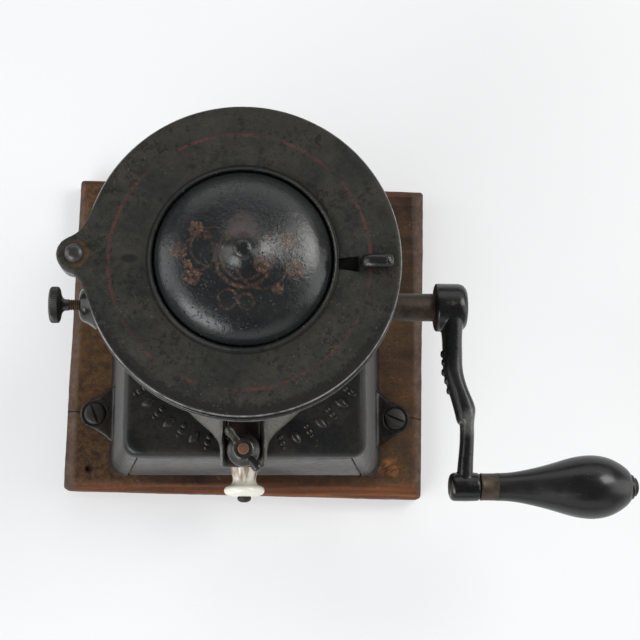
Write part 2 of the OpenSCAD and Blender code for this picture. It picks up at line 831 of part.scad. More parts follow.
// Folded tin tray: floor, two sides, back, and a low front tab riveted to the casting.
module drawer_tray() {
  tab_y = front_y + front_t + front_run * (rivet_z + 8 - box_z) + 0.1;
  tab_top = tray_z + 20;
  slope_y = front_y + front_t + 0.05;
  color("silver") difference() {
    union() {
      difference() {
        translate([-tray_w / 2, tab_y, tray_z]) cube([tray_w, tray_back_y - tab_y, tray_h]);
        translate([-tray_w / 2 + tray_t, tab_y - 1, tray_z + tray_t])
          cube([tray_w - 2 * tray_t, tray_back_y - tab_y + 1 - tray_t, tray_h]);
      }
      translate([-tray_w / 2, tab_y, tray_z]) cube([tray_w, tray_t, 20]);
    }
    for (x = rivet_x) rod_y(tab_y - 2, tab_y + 4, rivet_r + 0.02, x, rivet_z);
    // The sides' front edges lean back along the casting.
    rotate([90, 0, 90]) translate([0, 0, -100]) linear_extrude(200)
      polygon([[front_y - 5, tab_top], [slope_y + front_run * (tab_top - box_z), tab_top],
               [slope_y + front_run * box_h, box_top], [front_y - 5, box_top]]);
  }
}

module drawer_rivets() {
  tab_y = front_y + front_t + front_run * (rivet_z + 8 - box_z) + 0.1;
  color(iron) for (x = rivet_x) {
    rod_y(front_y + 1.8, tab_y + tray_t + 1, rivet_r, x, rivet_z);
    translate([x, tab_y + tray_t + 0.05, rivet_z]) rotate([-90, 0, 0]) cylinder(h = 1.2, r1 = 3.2, r2 = 2);
  }
}

module porcelain_knob() {
  color("ivory") translate([knob_x, knob_face_y - 0.6, knob_z]) rotate([90, 0, 0]) rotate_extrude()
    polygon([
      [2.1, 0], [8.2, 0], [7.6, 1.5], [7, 4], [7.2, 7], [8.6, 9.4], [10.8, 11], [knob_d / 2 - 0.3, 12.2],
      [knob_d / 2, 13.6], [knob_d / 2 - 0.5, 15], [10.4, 16.5], [7.4, knob_len - 0.8],
      [4.4, knob_len - 0.8], [2.1, knob_len - 0.8]
    ]);
}

module knob_washer() {
  color(iron) translate([knob_x, knob_face_y - 0.02, knob_z]) difference() {
    rotate([90, 0, 0]) cylinder(h = 0.5, r = 6);
    rotate([90, 0, 0]) translate([0, 0, -1]) cylinder(h = 3, r = 2.1);
  }
}

module knob_screw() {
  tip_y = knob_face_y - 0.6 - knob_len + 0.8;
  color(iron) {
    rod_y(tip_y - 0.5, knob_face_y + front_t + 6, 2.05, knob_x, knob_z);
    difference() {
      translate([knob_x, tip_y - 0.05, knob_z]) rotate([90, 0, 0]) {
        cylinder(h = 1.6, r = 4.6);
        translate([0, 0, 1.6]) cylinder(h = 1.5, r1 = 4.6, r2 = 2.8);
      }
      translate([knob_x - 6, tip_y - 4, knob_z - 0.6]) cube([12, 2, 1.2]);
    }
  }
}

module knob_nut() {
  nut_y = knob_face_y + front_t + 0.7;
  color(iron) difference() {
    translate([knob_x - 4.5, nut_y, knob_z - 4.5]) cube([9, 3.6, 9]);
    rod_y(nut_y - 1, nut_y + 6, 2.07, knob_x, knob_z);
  }
}

base_board();
board_screw();
mill_box();
lug_screws();
hopper_foot();
hopper_housing();
hopper_bowl();
hopper_rim();
hopper_stud();
wing_nut();
lid();
lid_pivot();
lid_pivot_nut();
bearing_bush();
crankshaft();
feed_worm();
worm_pin();
turning_burr();
burr_pin();
ring_burr();
ring_burr_screws();
burr_spring();
thrust_button();
thumb_screw();
crank_arm();
crank_pin();
handle_pin();
handle_washer();
ferrule();
grip();
drawer_front();
drawer_tray();
drawer_rivets();
porcelain_knob();
knob_screw();
knob_nut();
knob_washer();
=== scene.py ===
"""Looks for the antique coffee mill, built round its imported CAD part.

Pieces the photograph shows are built again here in mesh code, inside the CAD pieces' places, with lengths in
millimetres. The hidden pieces stay the CAD solids. Material code works in metres.
"""

import math

import bmesh
import bpy
from mathutils import Matrix, Vector, noise


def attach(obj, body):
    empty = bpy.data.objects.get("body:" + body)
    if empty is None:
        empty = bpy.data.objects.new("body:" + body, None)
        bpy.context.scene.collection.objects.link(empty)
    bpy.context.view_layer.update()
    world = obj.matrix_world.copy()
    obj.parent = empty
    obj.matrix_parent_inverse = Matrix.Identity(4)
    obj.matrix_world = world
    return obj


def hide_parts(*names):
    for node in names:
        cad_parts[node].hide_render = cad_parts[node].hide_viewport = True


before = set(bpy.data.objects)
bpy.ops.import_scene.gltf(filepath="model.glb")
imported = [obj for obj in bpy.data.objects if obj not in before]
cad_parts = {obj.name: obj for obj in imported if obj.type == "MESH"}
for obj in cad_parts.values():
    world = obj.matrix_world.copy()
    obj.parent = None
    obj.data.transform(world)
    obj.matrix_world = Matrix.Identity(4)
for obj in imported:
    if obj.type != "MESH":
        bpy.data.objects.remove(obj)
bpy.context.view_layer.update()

MM = 0.001
TAU = 2 * math.pi

# ---------------------------------------------------------------- sizes shared with the CAD part
BOARD_W, BOARD_D = 221, 198
BOARD_SKEW = -1.4
BOARD_SHIFT = (1, 2.5)
BOX_Z, BOX_TOP = 20, 72
BOX_W, BOX_D = 163, 170
SIDE_LEAN, FRONT_LEAN = 11, 7
BOX_H = BOX_TOP - BOX_Z
SHAFT_Z = 124
RIM_Z = 226
LID_X, LID_Y, LID_Z, LID_T = -0.3, 2, 226.3, 2.9
DOME_R, DOME_H, BOSS_H = 42.4, 19.4, 1.6
TAB_X, TAB_Y = 55, 0.2
BOWL_R = 70.8
EAR_X, EAR_Y, EAR_R = -80, 3.5, 9
STUD_X, STUD_Y, STUD_R = -0.7, -75, 3.25
CRANK_LEN = 99
HUB_LEFT, HUB_RIGHT, HUB_R = 105, 122.6, 13.4
GRIP_HUB_LEFT, GRIP_HUB_RIGHT, GRIP_HUB_R = 111, 127.5, 7.7
FERRULE_LEN = 9.8
GRIP_LEFT = GRIP_HUB_RIGHT + 0.3 + FERRULE_LEN
GRIP_LEN, GRIP_R = 74.4, 17.2
KNOB_X, KNOB_Z = -0.3, 45
LUGS = ((-92.2, -48), (92.2, -50.5))
WALL = 4
DOOR_LOW, DOOR_HIGH = 71.5, 62.25
REAR_LUG_Y = BOX_D / 2 + 8.5
LUG_TOP = 26
CORNER_SCREW = (91, -82)
EMPTY_HOLE = (-96, -81)
SCREW_R = 2.1
PIN_R = 3
SHAFT_R = 5.5
HUB_PIN_X, HUB_PIN_R = 113, 1.6
FLOOR_HALF = 30000
SHAFT = (0, 0, SHAFT_Z)
GRIP = (0, -CRANK_LEN, SHAFT_Z)
STUD = (STUD_X, STUD_Y, 0)
EAR = (EAR_X, EAR_Y, 0)
KNOB = (KNOB_X, 0, KNOB_Z)


# ---------------------------------------------------------------- mesh helpers
def link(name, data):
    ob = bpy.data.objects.new(name, data)
    bpy.context.scene.collection.objects.link(ob)
    return ob


def shade(ob, angle=35):
    """Smooth faces with edges sharper than angle kept crisp, and normals facing out."""
    bm = bmesh.new()
    bm.from_mesh(ob.data)
    bmesh.ops.recalc_face_normals(bm, faces=bm.faces)
    limit = math.radians(angle)
    for f in bm.faces:
        f.smooth = True
    for e in bm.edges:
        e.smooth = not (len(e.link_faces) == 2 and e.calc_face_angle(0) > limit)
    bm.to_mesh(ob.data)
    bm.free()
    return ob


def solid(name, verts, faces, angle=35):
    mesh = bpy.data.meshes.new(name)
    mesh.from_pydata([Vector(v) * MM for v in verts], [], faces)
    mesh.validate()
    return shade(link(name, mesh), angle)


def stack(name, rings, angle=35):
    """A solid through rings of equal length, capped at both ends."""
    n = len(rings[0])
    verts = [p for ring in rings for p in ring]
    faces = []
    for a in range(0, len(verts) - n, n):
        for j in range(n):
            k = (j + 1) % n
            faces.append((a + j, a + k, a + n + k, a + n + j))
    faces.append(tuple(reversed(range(n))))
    faces.append(tuple(range(len(verts) - n, len(verts))))
    return solid(name, verts, faces, angle)


def flatten_large(ob):
    """Faces with many corners are flat, so they are not shaded as if they bulged."""
    for f in ob.data.polygons:
        if len(f.vertices) > 8:
            f.use_smooth = False
    return ob


def lathe(name, profile, at=(0, 0, 0), axis="Z", steps=96, angle=35, radius=None):
    """Turns (radius, height) points round an axis. Ends on the axis close to a point; a loop makes a tube.
    radius(r, h, turn) may change each point's radius."""
    closed = profile[0] == profile[-1] and profile[0][0] > 0
    pts = profile[:-1] if closed else profile
    verts, rows, faces = [], [], []
    for r, h in pts:
        row = []
        count = 1 if r < 1e-6 else steps
        for j in range(count):
            turn = TAU * j / steps
            rr = radius(r, h, turn) if radius and r > 1e-6 else r
            u, v = rr * math.cos(turn), rr * math.sin(turn)
            p = {"Z": (u, v, h), "X": (h, u, v), "Y": (u, h, v)}[axis]
            row.append(len(verts))
            verts.append([c + move for c, move in zip(p, at)])
        rows.append(row)
    pairs = list(zip(rows, rows[1:] + rows[:1])) if closed else list(zip(rows, rows[1:]))
    for a, b in pairs:
        for j in range(steps):
            k = (j + 1) % steps
            if len(a) == 1 and len(b) == 1:
                continue
            if len(a) == 1:
                faces.append((a[0], b[j], b[k]))
            elif len(b) == 1:
                faces.append((a[j], a[k], b[0]))
            else:
                faces.append((a[j], a[k], b[k], b[j]))
    return solid(name, verts, faces, angle)


def soften(points, size, parts=3, loop=False):
    """Rounds each corner of a line of points by a short curve that starts up to size from the corner."""
    out = []
    n = len(points)
    for i, p in enumerate(points):
        if not loop and i in (0, n - 1):
            out.append(tuple(p))
            continue
        a, b, c = Vector(points[i - 1]), Vector(p), Vector(points[(i + 1) % n])
        ra = min(size, (a - b).length * 0.45)
        rc = min(size, (c - b).length * 0.45)
        s, e = b + (a - b).normalized() * ra, b + (c - b).normalized() * rc
        for k in range(parts + 1):
            t = k / parts
            out.append(tuple(s * (1 - t) ** 2 + b * 2 * t * (1 - t) + e * t ** 2))
    return out


def curve(points, parts):
    """A Catmull-Rom line through points."""
    pts = [Vector(p) for p in points]
    ext = [pts[0] * 2 - pts[1]] + pts + [pts[-1] * 2 - pts[-2]]
    out = []
    for i in range(1, len(ext) - 2):
        a, b, c, d = ext[i - 1 : i + 3]
        for k in range(parts):
            t = k / parts
            q = b * 2 + (c - a) * t + (a * 2 - b * 5 + c * 4 - d) * t ** 2 + (b * 3 - a - c * 3 + d) * t ** 3
            out.append(tuple(q * 0.5))
    out.append(tuple(pts[-1]))
    return out


def rounded_rect(hw, hd, radii, corner, side):
    """Points counterclockwise from the right front, where radii begin. Corners and sides are cut into spans."""
    out = []
    centres = (
        (hw - radii[0], -hd + radii[0], -90, radii[0]),
        (hw - radii[1], hd - radii[1], 0, radii[1]),
        (-hw + radii[2], hd - radii[2], 90, radii[2]),
        (-hw + radii[3], -hd + radii[3], 180, radii[3]),
    )
    for i, (cx, cy, start, r) in enumerate(centres):
        for k in range(corner + 1):
            a = math.radians(start + 90 * k / corner)
            x, y = cx + r * math.cos(a), cy + r * math.sin(a)
            out.append((x, y))
        nx, ny, ns, nr = centres[(i + 1) % 4]
        a = math.radians(ns)
        end = (nx + nr * math.cos(a), ny + nr * math.sin(a))
        for k in range(1, side):
            t = k / side
            out.append((x * (1 - t) + end[0] * t, y * (1 - t) + end[1] * t))
    return out


def inset(points, by):
    """Moves a counterclockwise closed outline inward."""
    out = []
    n = len(points)
    for i in range(n):
        a, b, c = Vector(points[i - 1]), Vector(points[i]), Vector(points[(i + 1) % n])
        d1, d2 = (b - a).normalized(), (c - b).normalized()
        normal = Vector((-(d1.y + d2.y), d1.x + d2.x))
        if normal.length < 1e-6:
            normal = Vector((-d1.y, d1.x))
        normal.normalize()
        slant = max(0.5, normal.dot(Vector((-d1.y, d1.x))))
        out.append(tuple(b + normal * by / slant))
    return out


def plate(name, outline, low, high, edge, to_3d=lambda x, y, z: (x, y, z), angle=35):
    """A flat piece with its upper and lower edges rounded by edge."""
    rings = []
    for z, by in ((low, edge), (low + edge * 0.3, edge * 0.3), (low + edge, 0), (high - edge, 0),
                  (high - edge * 0.3, edge * 0.3), (high, edge)):
        line = inset(outline, by) if by else outline
        rings.append([to_3d(x, y, z) for x, y in line])
    return stack(name, rings, angle=angle)


def block(name, low, high):
    x, y, z = zip(low, high)
    rings = [[(x[0], y[0], h), (x[1], y[0], h), (x[1], y[1], h), (x[0], y[1], h)] for h in z]
    return stack(name, rings)


def only(ob):
    bpy.ops.object.select_all(action="DESELECT")
    ob.select_set(True)
    bpy.context.view_layer.objects.active = ob


def apply(ob, kind, **settings):
    only(ob)
    m = ob.modifiers.new(kind.lower(), kind)
    for k, v in settings.items():
        setattr(m, k, v)
    bpy.ops.object.modifier_apply(modifier=m.name)


def cut(ob, *tools, how="DIFFERENCE"):
    for t in tools:
        apply(ob, "BOOLEAN", object=t, operation=how, solver="EXACT")
        bpy.data.objects.remove(t)
    return ob


def join(name, *obs):
    """One object of several closed solids."""
    only(obs[0])
    for o in obs[1:]:
        o.select_set(True)
    bpy.ops.object.join()
    obs[0].name = name
    return obs[0]


def cast(ob, voxel, smooth, keep):
    """Melts overlapping solids into one casting with soft inner corners, and keeps a share of its faces."""
    apply(ob, "REMESH", mode="VOXEL", voxel_size=voxel * MM)
    apply(ob, "SMOOTH", iterations=smooth, factor=0.5)
    apply(ob, "DECIMATE", ratio=keep)
    return shade(ob, 60)


def rod(name, axis, a, b, r, at, steps=64):
    return lathe(name, [(0, a), (r, a), (r, b), (0, b)], at, axis, steps)


def arc(r, start, end, by):
    """Points on a circle round the origin, at angles in degrees."""
    return [(r * math.cos(math.radians(a)), r * math.sin(math.radians(a))) for a in range(start, end, by)]


def squircle(count, across, up):
    """Points of a unit ring, rounder or squarer by the powers of its two directions."""
    turns = [TAU * j / count for j in range(count)]
    return [[math.copysign(abs(v) ** power, v) for v, power in ((math.cos(b), across), (math.sin(b), up))]
            for b in turns]


def wobble(p, scale, size):
    """Slow hand-made unevenness."""
    return noise.noise(Vector(p) * scale) * size


# ---------------------------------------------------------------- materials
class Look:
    """A node material under construction. Masks run from 0 to 1, and distances are in metres."""

    def __init__(self, name):
        self.material = bpy.data.materials.new(name)
        self.material.use_nodes = True
        self.tree = self.material.node_tree
        self.tree.nodes.clear()
        output = self.tree.nodes.new("ShaderNodeOutputMaterial")
        self.shader = self.tree.nodes.new("ShaderNodeBsdfPrincipled")
        self.tree.links.new(self.shader.outputs[0], output.inputs[0])
        self.coord = self.node("TexCoord", {})["Object"]

    def wire(self, value, socket):
        if hasattr(value, "links"):
            self.tree.links.new(value, socket)
        else:
            socket.default_value = value

    def node(self, kind, inputs, **settings):
        """The outputs of a new node whose inputs are values or other nodes' outputs."""
        n = self.tree.nodes.new("ShaderNode" + kind)
        for name, value in settings.items():
            setattr(n, name, value)
        for name, value in inputs.items():
            self.wire(value, n.inputs[name])
        return n.outputs

    def stretch(self, scale, place=(0, 0, 0), turn=(0, 0, 0)):
        inputs = {"Vector": self.coord, "Location": place, "Rotation": turn, "Scale": scale}
        return self.node("Mapping", inputs)[0]

    def noise(self, scale, detail=4, rough=0.55, vector=None, warp=0):
        vector = vector or self.coord
        inputs = {"Vector": vector, "Scale": scale, "Detail": detail, "Roughness": rough, "Distortion": warp}
        return self.node("TexNoise", inputs)["Fac"]

    def cells(self, scale):
        return self.node("TexVoronoi", {"Vector": self.coord, "Scale": scale, "Randomness": 1.0})["Distance"]

    def math(self, op, *values, clamp=False):
        return self.node("Math", dict(enumerate(values)), operation=op, use_clamp=clamp)[0]

    def mul(self, a, b):
        return self.math("MULTIPLY", a, b)

    def add(self, a, b, clamp=False):
        return self.math("ADD", a, b, clamp=clamp)

    def sub(self, a, b, clamp=False):
        return self.math("SUBTRACT", a, b, clamp=clamp)

    def most(self, a, b):
        return self.math("MAXIMUM", a, b)

    def far(self, value, centre):
        """How far a value is from centre, either way."""
        return self.math("ABSOLUTE", self.sub(value, centre))

    def step(self, value, low, high, to_low=0.0, to_high=1.0):
        """Value mapped smoothly from low..high to to_low..to_high, and held outside."""
        inputs = {"Value": value, "From Min": low, "From Max": high, "To Min": to_low, "To Max": to_high}
        return self.node("MapRange", inputs, interpolation_type="SMOOTHSTEP")["Result"]

    def near(self, value, inner, outer):
        """1 up to inner, falling to 0 at outer."""
        return self.step(value, inner, outer, 1.0, 0.0)

    def band(self, value, centre, half, soft):
        """1 within half of centre, falling to 0 over soft."""
        return self.near(self.far(value, centre), half, half + soft)

    def patches(self, scale, detail, rough, low, high, *to):
        """Ragged patches where a noise runs from low to high."""
        return self.step(self.noise(scale, detail, rough), low, high, *to)

    def dots(self, scale, inner, outer, *where):
        """Small dots, gathered in patches."""
        return self.mul(self.near(self.cells(scale), inner, outer), self.patches(*where))

    def sway(self, value, size):
        """A noise turned into a shift of up to half of size each way."""
        return self.mul(self.sub(value, 0.5), size)

    def mix(self, fac, a, b):
        a, b = (value + (1,) if isinstance(value, tuple) else value for value in (a, b))
        return self.node("Mix", {"Factor": fac, "A": a, "B": b}, data_type="RGBA")["Result"]

    def over(self, under, where, much, colour):
        """Colour laid over what is under it, as strongly as much where the mask is 1."""
        return self.mix(self.mul(where, much), under, colour)

    def ramp(self, value, *stops):
        ramp = self.tree.nodes.new("ShaderNodeValToRGB")
        self.wire(value, ramp.inputs[0])
        elements = ramp.color_ramp.elements
        while len(elements) < len(stops):
            elements.new(0.5)
        for element, (at, colour) in zip(elements, stops):
            element.position = at
            element.color = colour + (1,)
        return ramp.outputs[0]

    def xyz(self):
        return self.node("SeparateXYZ", {0: self.coord})

    def length(self, vector):
        return self.node("VectorMath", {0: vector}, operation="LENGTH")["Value"]

    def reach(self, x, y=None, z=None):
        """Distance from a line through a point in millimetres, along the axis that isn't given."""
        place = [(c or 0) * MM for c in (x, y, z)]
        keep = [float(c is not None) for c in (x, y, z)]
        away = self.node("VectorMath", {0: self.coord, 1: place}, operation="SUBTRACT")[0]
        return self.length(self.node("VectorMath", {0: away, 1: keep}, operation="MULTIPLY")[0])

    def edges(self, low=0.52, high=0.6):
        """1 on outer edges, where handling wears the finish."""
        return self.step(self.node("NewGeometry", {})["Pointiness"], low, high)

    def hollows(self):
        return self.step(self.node("NewGeometry", {})["Pointiness"], 0.4, 0.47, 1.0, 0.0)

    def relief(self, *layers):
        """Bumps laid over each other, each a height, its size in millimetres and its strength."""
        normal = None
        for height, distance, strength in layers:
            inputs = {"Height": height, "Distance": distance * MM, "Strength": strength}
            if normal is not None:
                inputs["Normal"] = normal
            normal = self.node("Bump", inputs)[0]
        return normal

    def finish(self, colour, rough, metal, normal=None, **more):
        if normal is not None:
            more["Normal"] = normal
        for name, value in {"Base_Color": colour, "Roughness": rough, "Metallic": metal, **more}.items():
            self.wire(value, self.shader.inputs[name.replace("_", " ")])
        return self.material


def scaled(colour, by):
    return tuple(min(1, c * by) for c in colour)


BLACK = (0.008, 0.0083, 0.0085)


def wood_look():
    k = Look("board_wood")
    grain = k.noise(1.0, 6, 0.62, k.stretch((11, 190, 190)), 0.6)
    fine = k.noise(1.0, 3, 0.6, k.stretch((60, 1500, 1500)))
    blotch = k.noise(24, 5, 0.62)
    dirt = k.noise(75, 6, 0.7, None, 0.3)
    x, y, z = k.xyz()
    fresh = k.ramp(grain, (0.3, (0.034, 0.0115, 0.005)), (0.5, (0.075, 0.025, 0.009)),
                   (0.72, (0.14, 0.05, 0.017)))
    grimy = k.ramp(blotch, (0.34, (0.013, 0.0068, 0.0034)), (0.5, (0.038, 0.02, 0.0085)),
                   (0.66, (0.085, 0.046, 0.019)))
    grimy = k.mix(k.step(grain, 0.45, 0.7, 0.0, 0.35), grimy, (0.085, 0.036, 0.012))
    top = k.step(z, 0.0192, 0.0199)
    cover = k.mul(top, k.step(dirt, 0.3, 0.55, 0.5, 0.95))
    body = k.mix(cover, fresh, grimy)
    # The bevels at both sides are greyer, the front one redder.
    side = k.mul(k.step(k.far(x, 0.001), 0.1035, 0.1055), 0.75)
    body = k.mix(side, body, k.ramp(grain, (0.3, (0.045, 0.029, 0.021)), (0.7, (0.11, 0.075, 0.053))))
    body = k.over(body, k.step(fine, 0.5, 0.72), 0.3, (0.02, 0.01, 0.006))
    front = k.mul(k.step(y, -0.0885, -0.0935), k.step(blotch, 0.3, 0.6, 0.5, 1.0))
    red = k.ramp(grain, (0.3, (0.055, 0.017, 0.006)), (0.52, (0.14, 0.046, 0.014)),
                 (0.7, (0.29, 0.105, 0.034)))
    body = k.mix(k.mul(front, k.step(side, 0.0, 0.7, 0.8, 0.2)), body, red)
    worn = k.mul(k.edges(0.52, 0.58), k.step(dirt, 0.45, 0.62, 0.15, 1.0))
    body = k.over(body, worn, 0.7, (0.27, 0.175, 0.115))
    # Rust run out of the corner screw.
    rust_d = k.add(k.reach(91, -80), k.sway(blotch, 0.03))
    rust = k.mul(k.near(rust_d, 0.004, 0.0095), k.step(dirt, 0.4, 0.56))
    body = k.over(body, rust, 0.9, (0.28, 0.10, 0.025))
    # Fine grime and golden dust lie over everything but the bevels.
    speck = k.noise(900, 5, 0.75)
    flat = k.sub(1.0, k.most(side, front))
    grime = k.mul(k.step(speck, 0.52, 0.62, 0.0, 0.75), k.step(flat, 0.0, 1.0, 0.35, 1.0))
    body = k.mix(grime, body, (0.009, 0.0055, 0.003))
    gold = k.mul(k.patches(620, 5, 0.75, 0.56, 0.64), k.patches(48, 5, 0.7, 0.47, 0.6))
    body = k.over(body, gold, 0.6, (0.19, 0.1, 0.032))
    warm = k.mul(k.step(x, -0.03, -0.085), k.step(k.noise(260, 6, 0.8, None, 0.3), 0.4, 0.62))
    body = k.over(body, k.mul(warm, top), 0.55, (0.125, 0.064, 0.022))
    hole = k.add(k.reach(*EMPTY_HOLE), k.sway(dirt, 0.004))
    body = k.mix(k.step(hole, 0.0018, 0.0036, 0.85, 0.0), body, (0.02, 0.007, 0.003))
    # Shakes that run along the grain out of the lug screws.
    wander = k.sway(k.noise(60, 3, 0.6), 0.0035)
    line = k.add(k.add(y, k.step(x, -0.05, 0.05, 0.0455, 0.0495)), wander)
    split = k.mul(k.band(line, 0.0, 0.00012, 0.0004), k.step(k.math("ABSOLUTE", x), 0.1, 0.102))
    body = k.mix(split, body, (0.006, 0.004, 0.003))
    height = k.add(k.mul(grain, 0.6), k.mul(fine, 0.4))
    height = k.sub(height, k.mul(split, 3.0))
    n = k.relief((height, 0.5, 0.6), (k.noise(700, 4, 0.65), 0.18, 0.5))
    return k.finish(body, k.step(dirt, 0.3, 0.7, 0.5, 0.8), 0.0, n, Specular_IOR_Level=0.25)


def japan_look(name, base, dust, dust_much, gloss, pits, chip, tint=None, coat=0.0, spec=0.3, veil=0.0,
               grime=None, gusset_dust_and_light=None, bare_and_highlight=None):
    """Black japan over cast iron: lumpy casting under a worn glossy skin, with dust and small chips.

    The colours at the end add one piece's own marks: grime on the box's lugs, with the right lug left black as
    painted shade; dust and painted light on the hopper's gusset, with painted shade on its left boss; and the
    crank's bare bend, also painted lighter as a highlight.
    """
    k = Look(name)
    lumps = k.noise(110, 4, 0.55)
    grit = k.noise(1100, 3, 0.6)
    cloud = k.noise(28, 5, 0.6, None, 0.4)
    pit = k.cells(210)
    body = k.mix(k.step(cloud, 0.35, 0.65), base, scaled(base, 1.5))
    if tint:
        body = k.over(body, k.step(cloud, 0.5, 0.72), 0.5, tint)
    dusty = k.mul(k.patches(46, 6, 0.7, 0.42, 0.64), dust_much)
    body = k.mix(dusty, body, dust)
    worn = k.mul(k.edges(0.53, 0.62), k.step(grit, 0.35, 0.6))
    body = k.over(body, worn, chip, (0.16, 0.155, 0.145))
    body = k.mix(k.patches(800, 5, 0.75, 0.46, 0.6, 0.0, 0.6), body, scaled(base, 0.35))
    speck = k.mul(k.near(pit, 0.06, 0.16), k.patches(33, 3, 0.55, 0.5, 0.62))
    body = k.over(body, speck, pits, (0.085, 0.05, 0.028))
    if bare_and_highlight:
        # The crank's bend is rubbed down to grey, and is also painted lighter there as a highlight.
        rubbed_and_lit = k.add(k.reach(124.5, -65), k.sway(k.noise(160, 5, 0.75), 0.01))
        body = k.mix(k.step(rubbed_and_lit, 0.003, 0.010, 0.75, 0.0), body, bare_and_highlight)
    if gusset_dust_and_light:
        # The flare of the clamping lug is painted lighter, both as dust and as painted light where the lid's
        # shadow falls; its channel floor is darker brown.
        x, y, z = k.xyz()
        off = k.far(x, STUD_X * MM)
        lug = k.mul(k.step(y, -0.036, -0.054), k.near(z, 0.082, 0.099))
        flare = k.mul(k.mul(lug, k.step(off, 0.0112, 0.0125)), k.step(grit, 0.3, 0.6, 0.5, 1.0))
        body = k.over(body, flare, 0.85, gusset_dust_and_light)
        # Painted shade: the left boss is darkened.
        body = k.mix(k.step(x, -0.066, -0.070, 0.0, 0.6), body, (0.006, 0.006, 0.006))
        channel_floor_dark = k.mul(lug, k.near(off, 0.0098, 0.0108))
        body = k.over(body, channel_floor_dark, 0.8, (0.02, 0.0105, 0.005))
    if grime:
        # Dirt from the board on the low side lugs; the right lug gets little of it and is left black as painted
        # shade.
        x, y, z = k.xyz()
        low = k.mul(k.near(z, 0.0262, 0.0285), k.step(k.math("ABSOLUTE", x), 0.0812, 0.0835))
        low = k.mul(low, k.patches(70, 5, 0.7, 0.3, 0.55, 0.35, 1.0))
        body = k.mix(k.mul(low, k.step(x, -0.01, 0.01, 0.85, 0.1)), body, grime)
        veil = k.mul(k.sub(1.0, low), veil)
        spec = k.sub(spec, k.mul(low, k.step(x, -0.01, 0.01, 0.0, spec * 0.85)))
    rough = k.add(k.step(cloud, 0.3, 0.7, gloss, gloss + 0.16), k.mul(dusty, 0.35))
    rough = k.add(rough, k.mul(speck, 0.2), clamp=True)
    if gusset_dust_and_light:
        rough = k.sub(rough, k.step(x, -0.066, -0.070, 0.0, 0.2), clamp=True)
    n = k.relief((lumps, 0.8, 0.55), (k.noise(380, 3, 0.6), 0.12, 0.5), (grit, 0.06, 0.5),
                 (pit, 0.25, 0.25 * pits))
    return k.finish(body, rough, 0.0, n, Coat_Weight=coat, Coat_Roughness=0.22, Specular_IOR_Level=spec,
                    Sheen_Weight=veil, Sheen_Roughness=0.35)


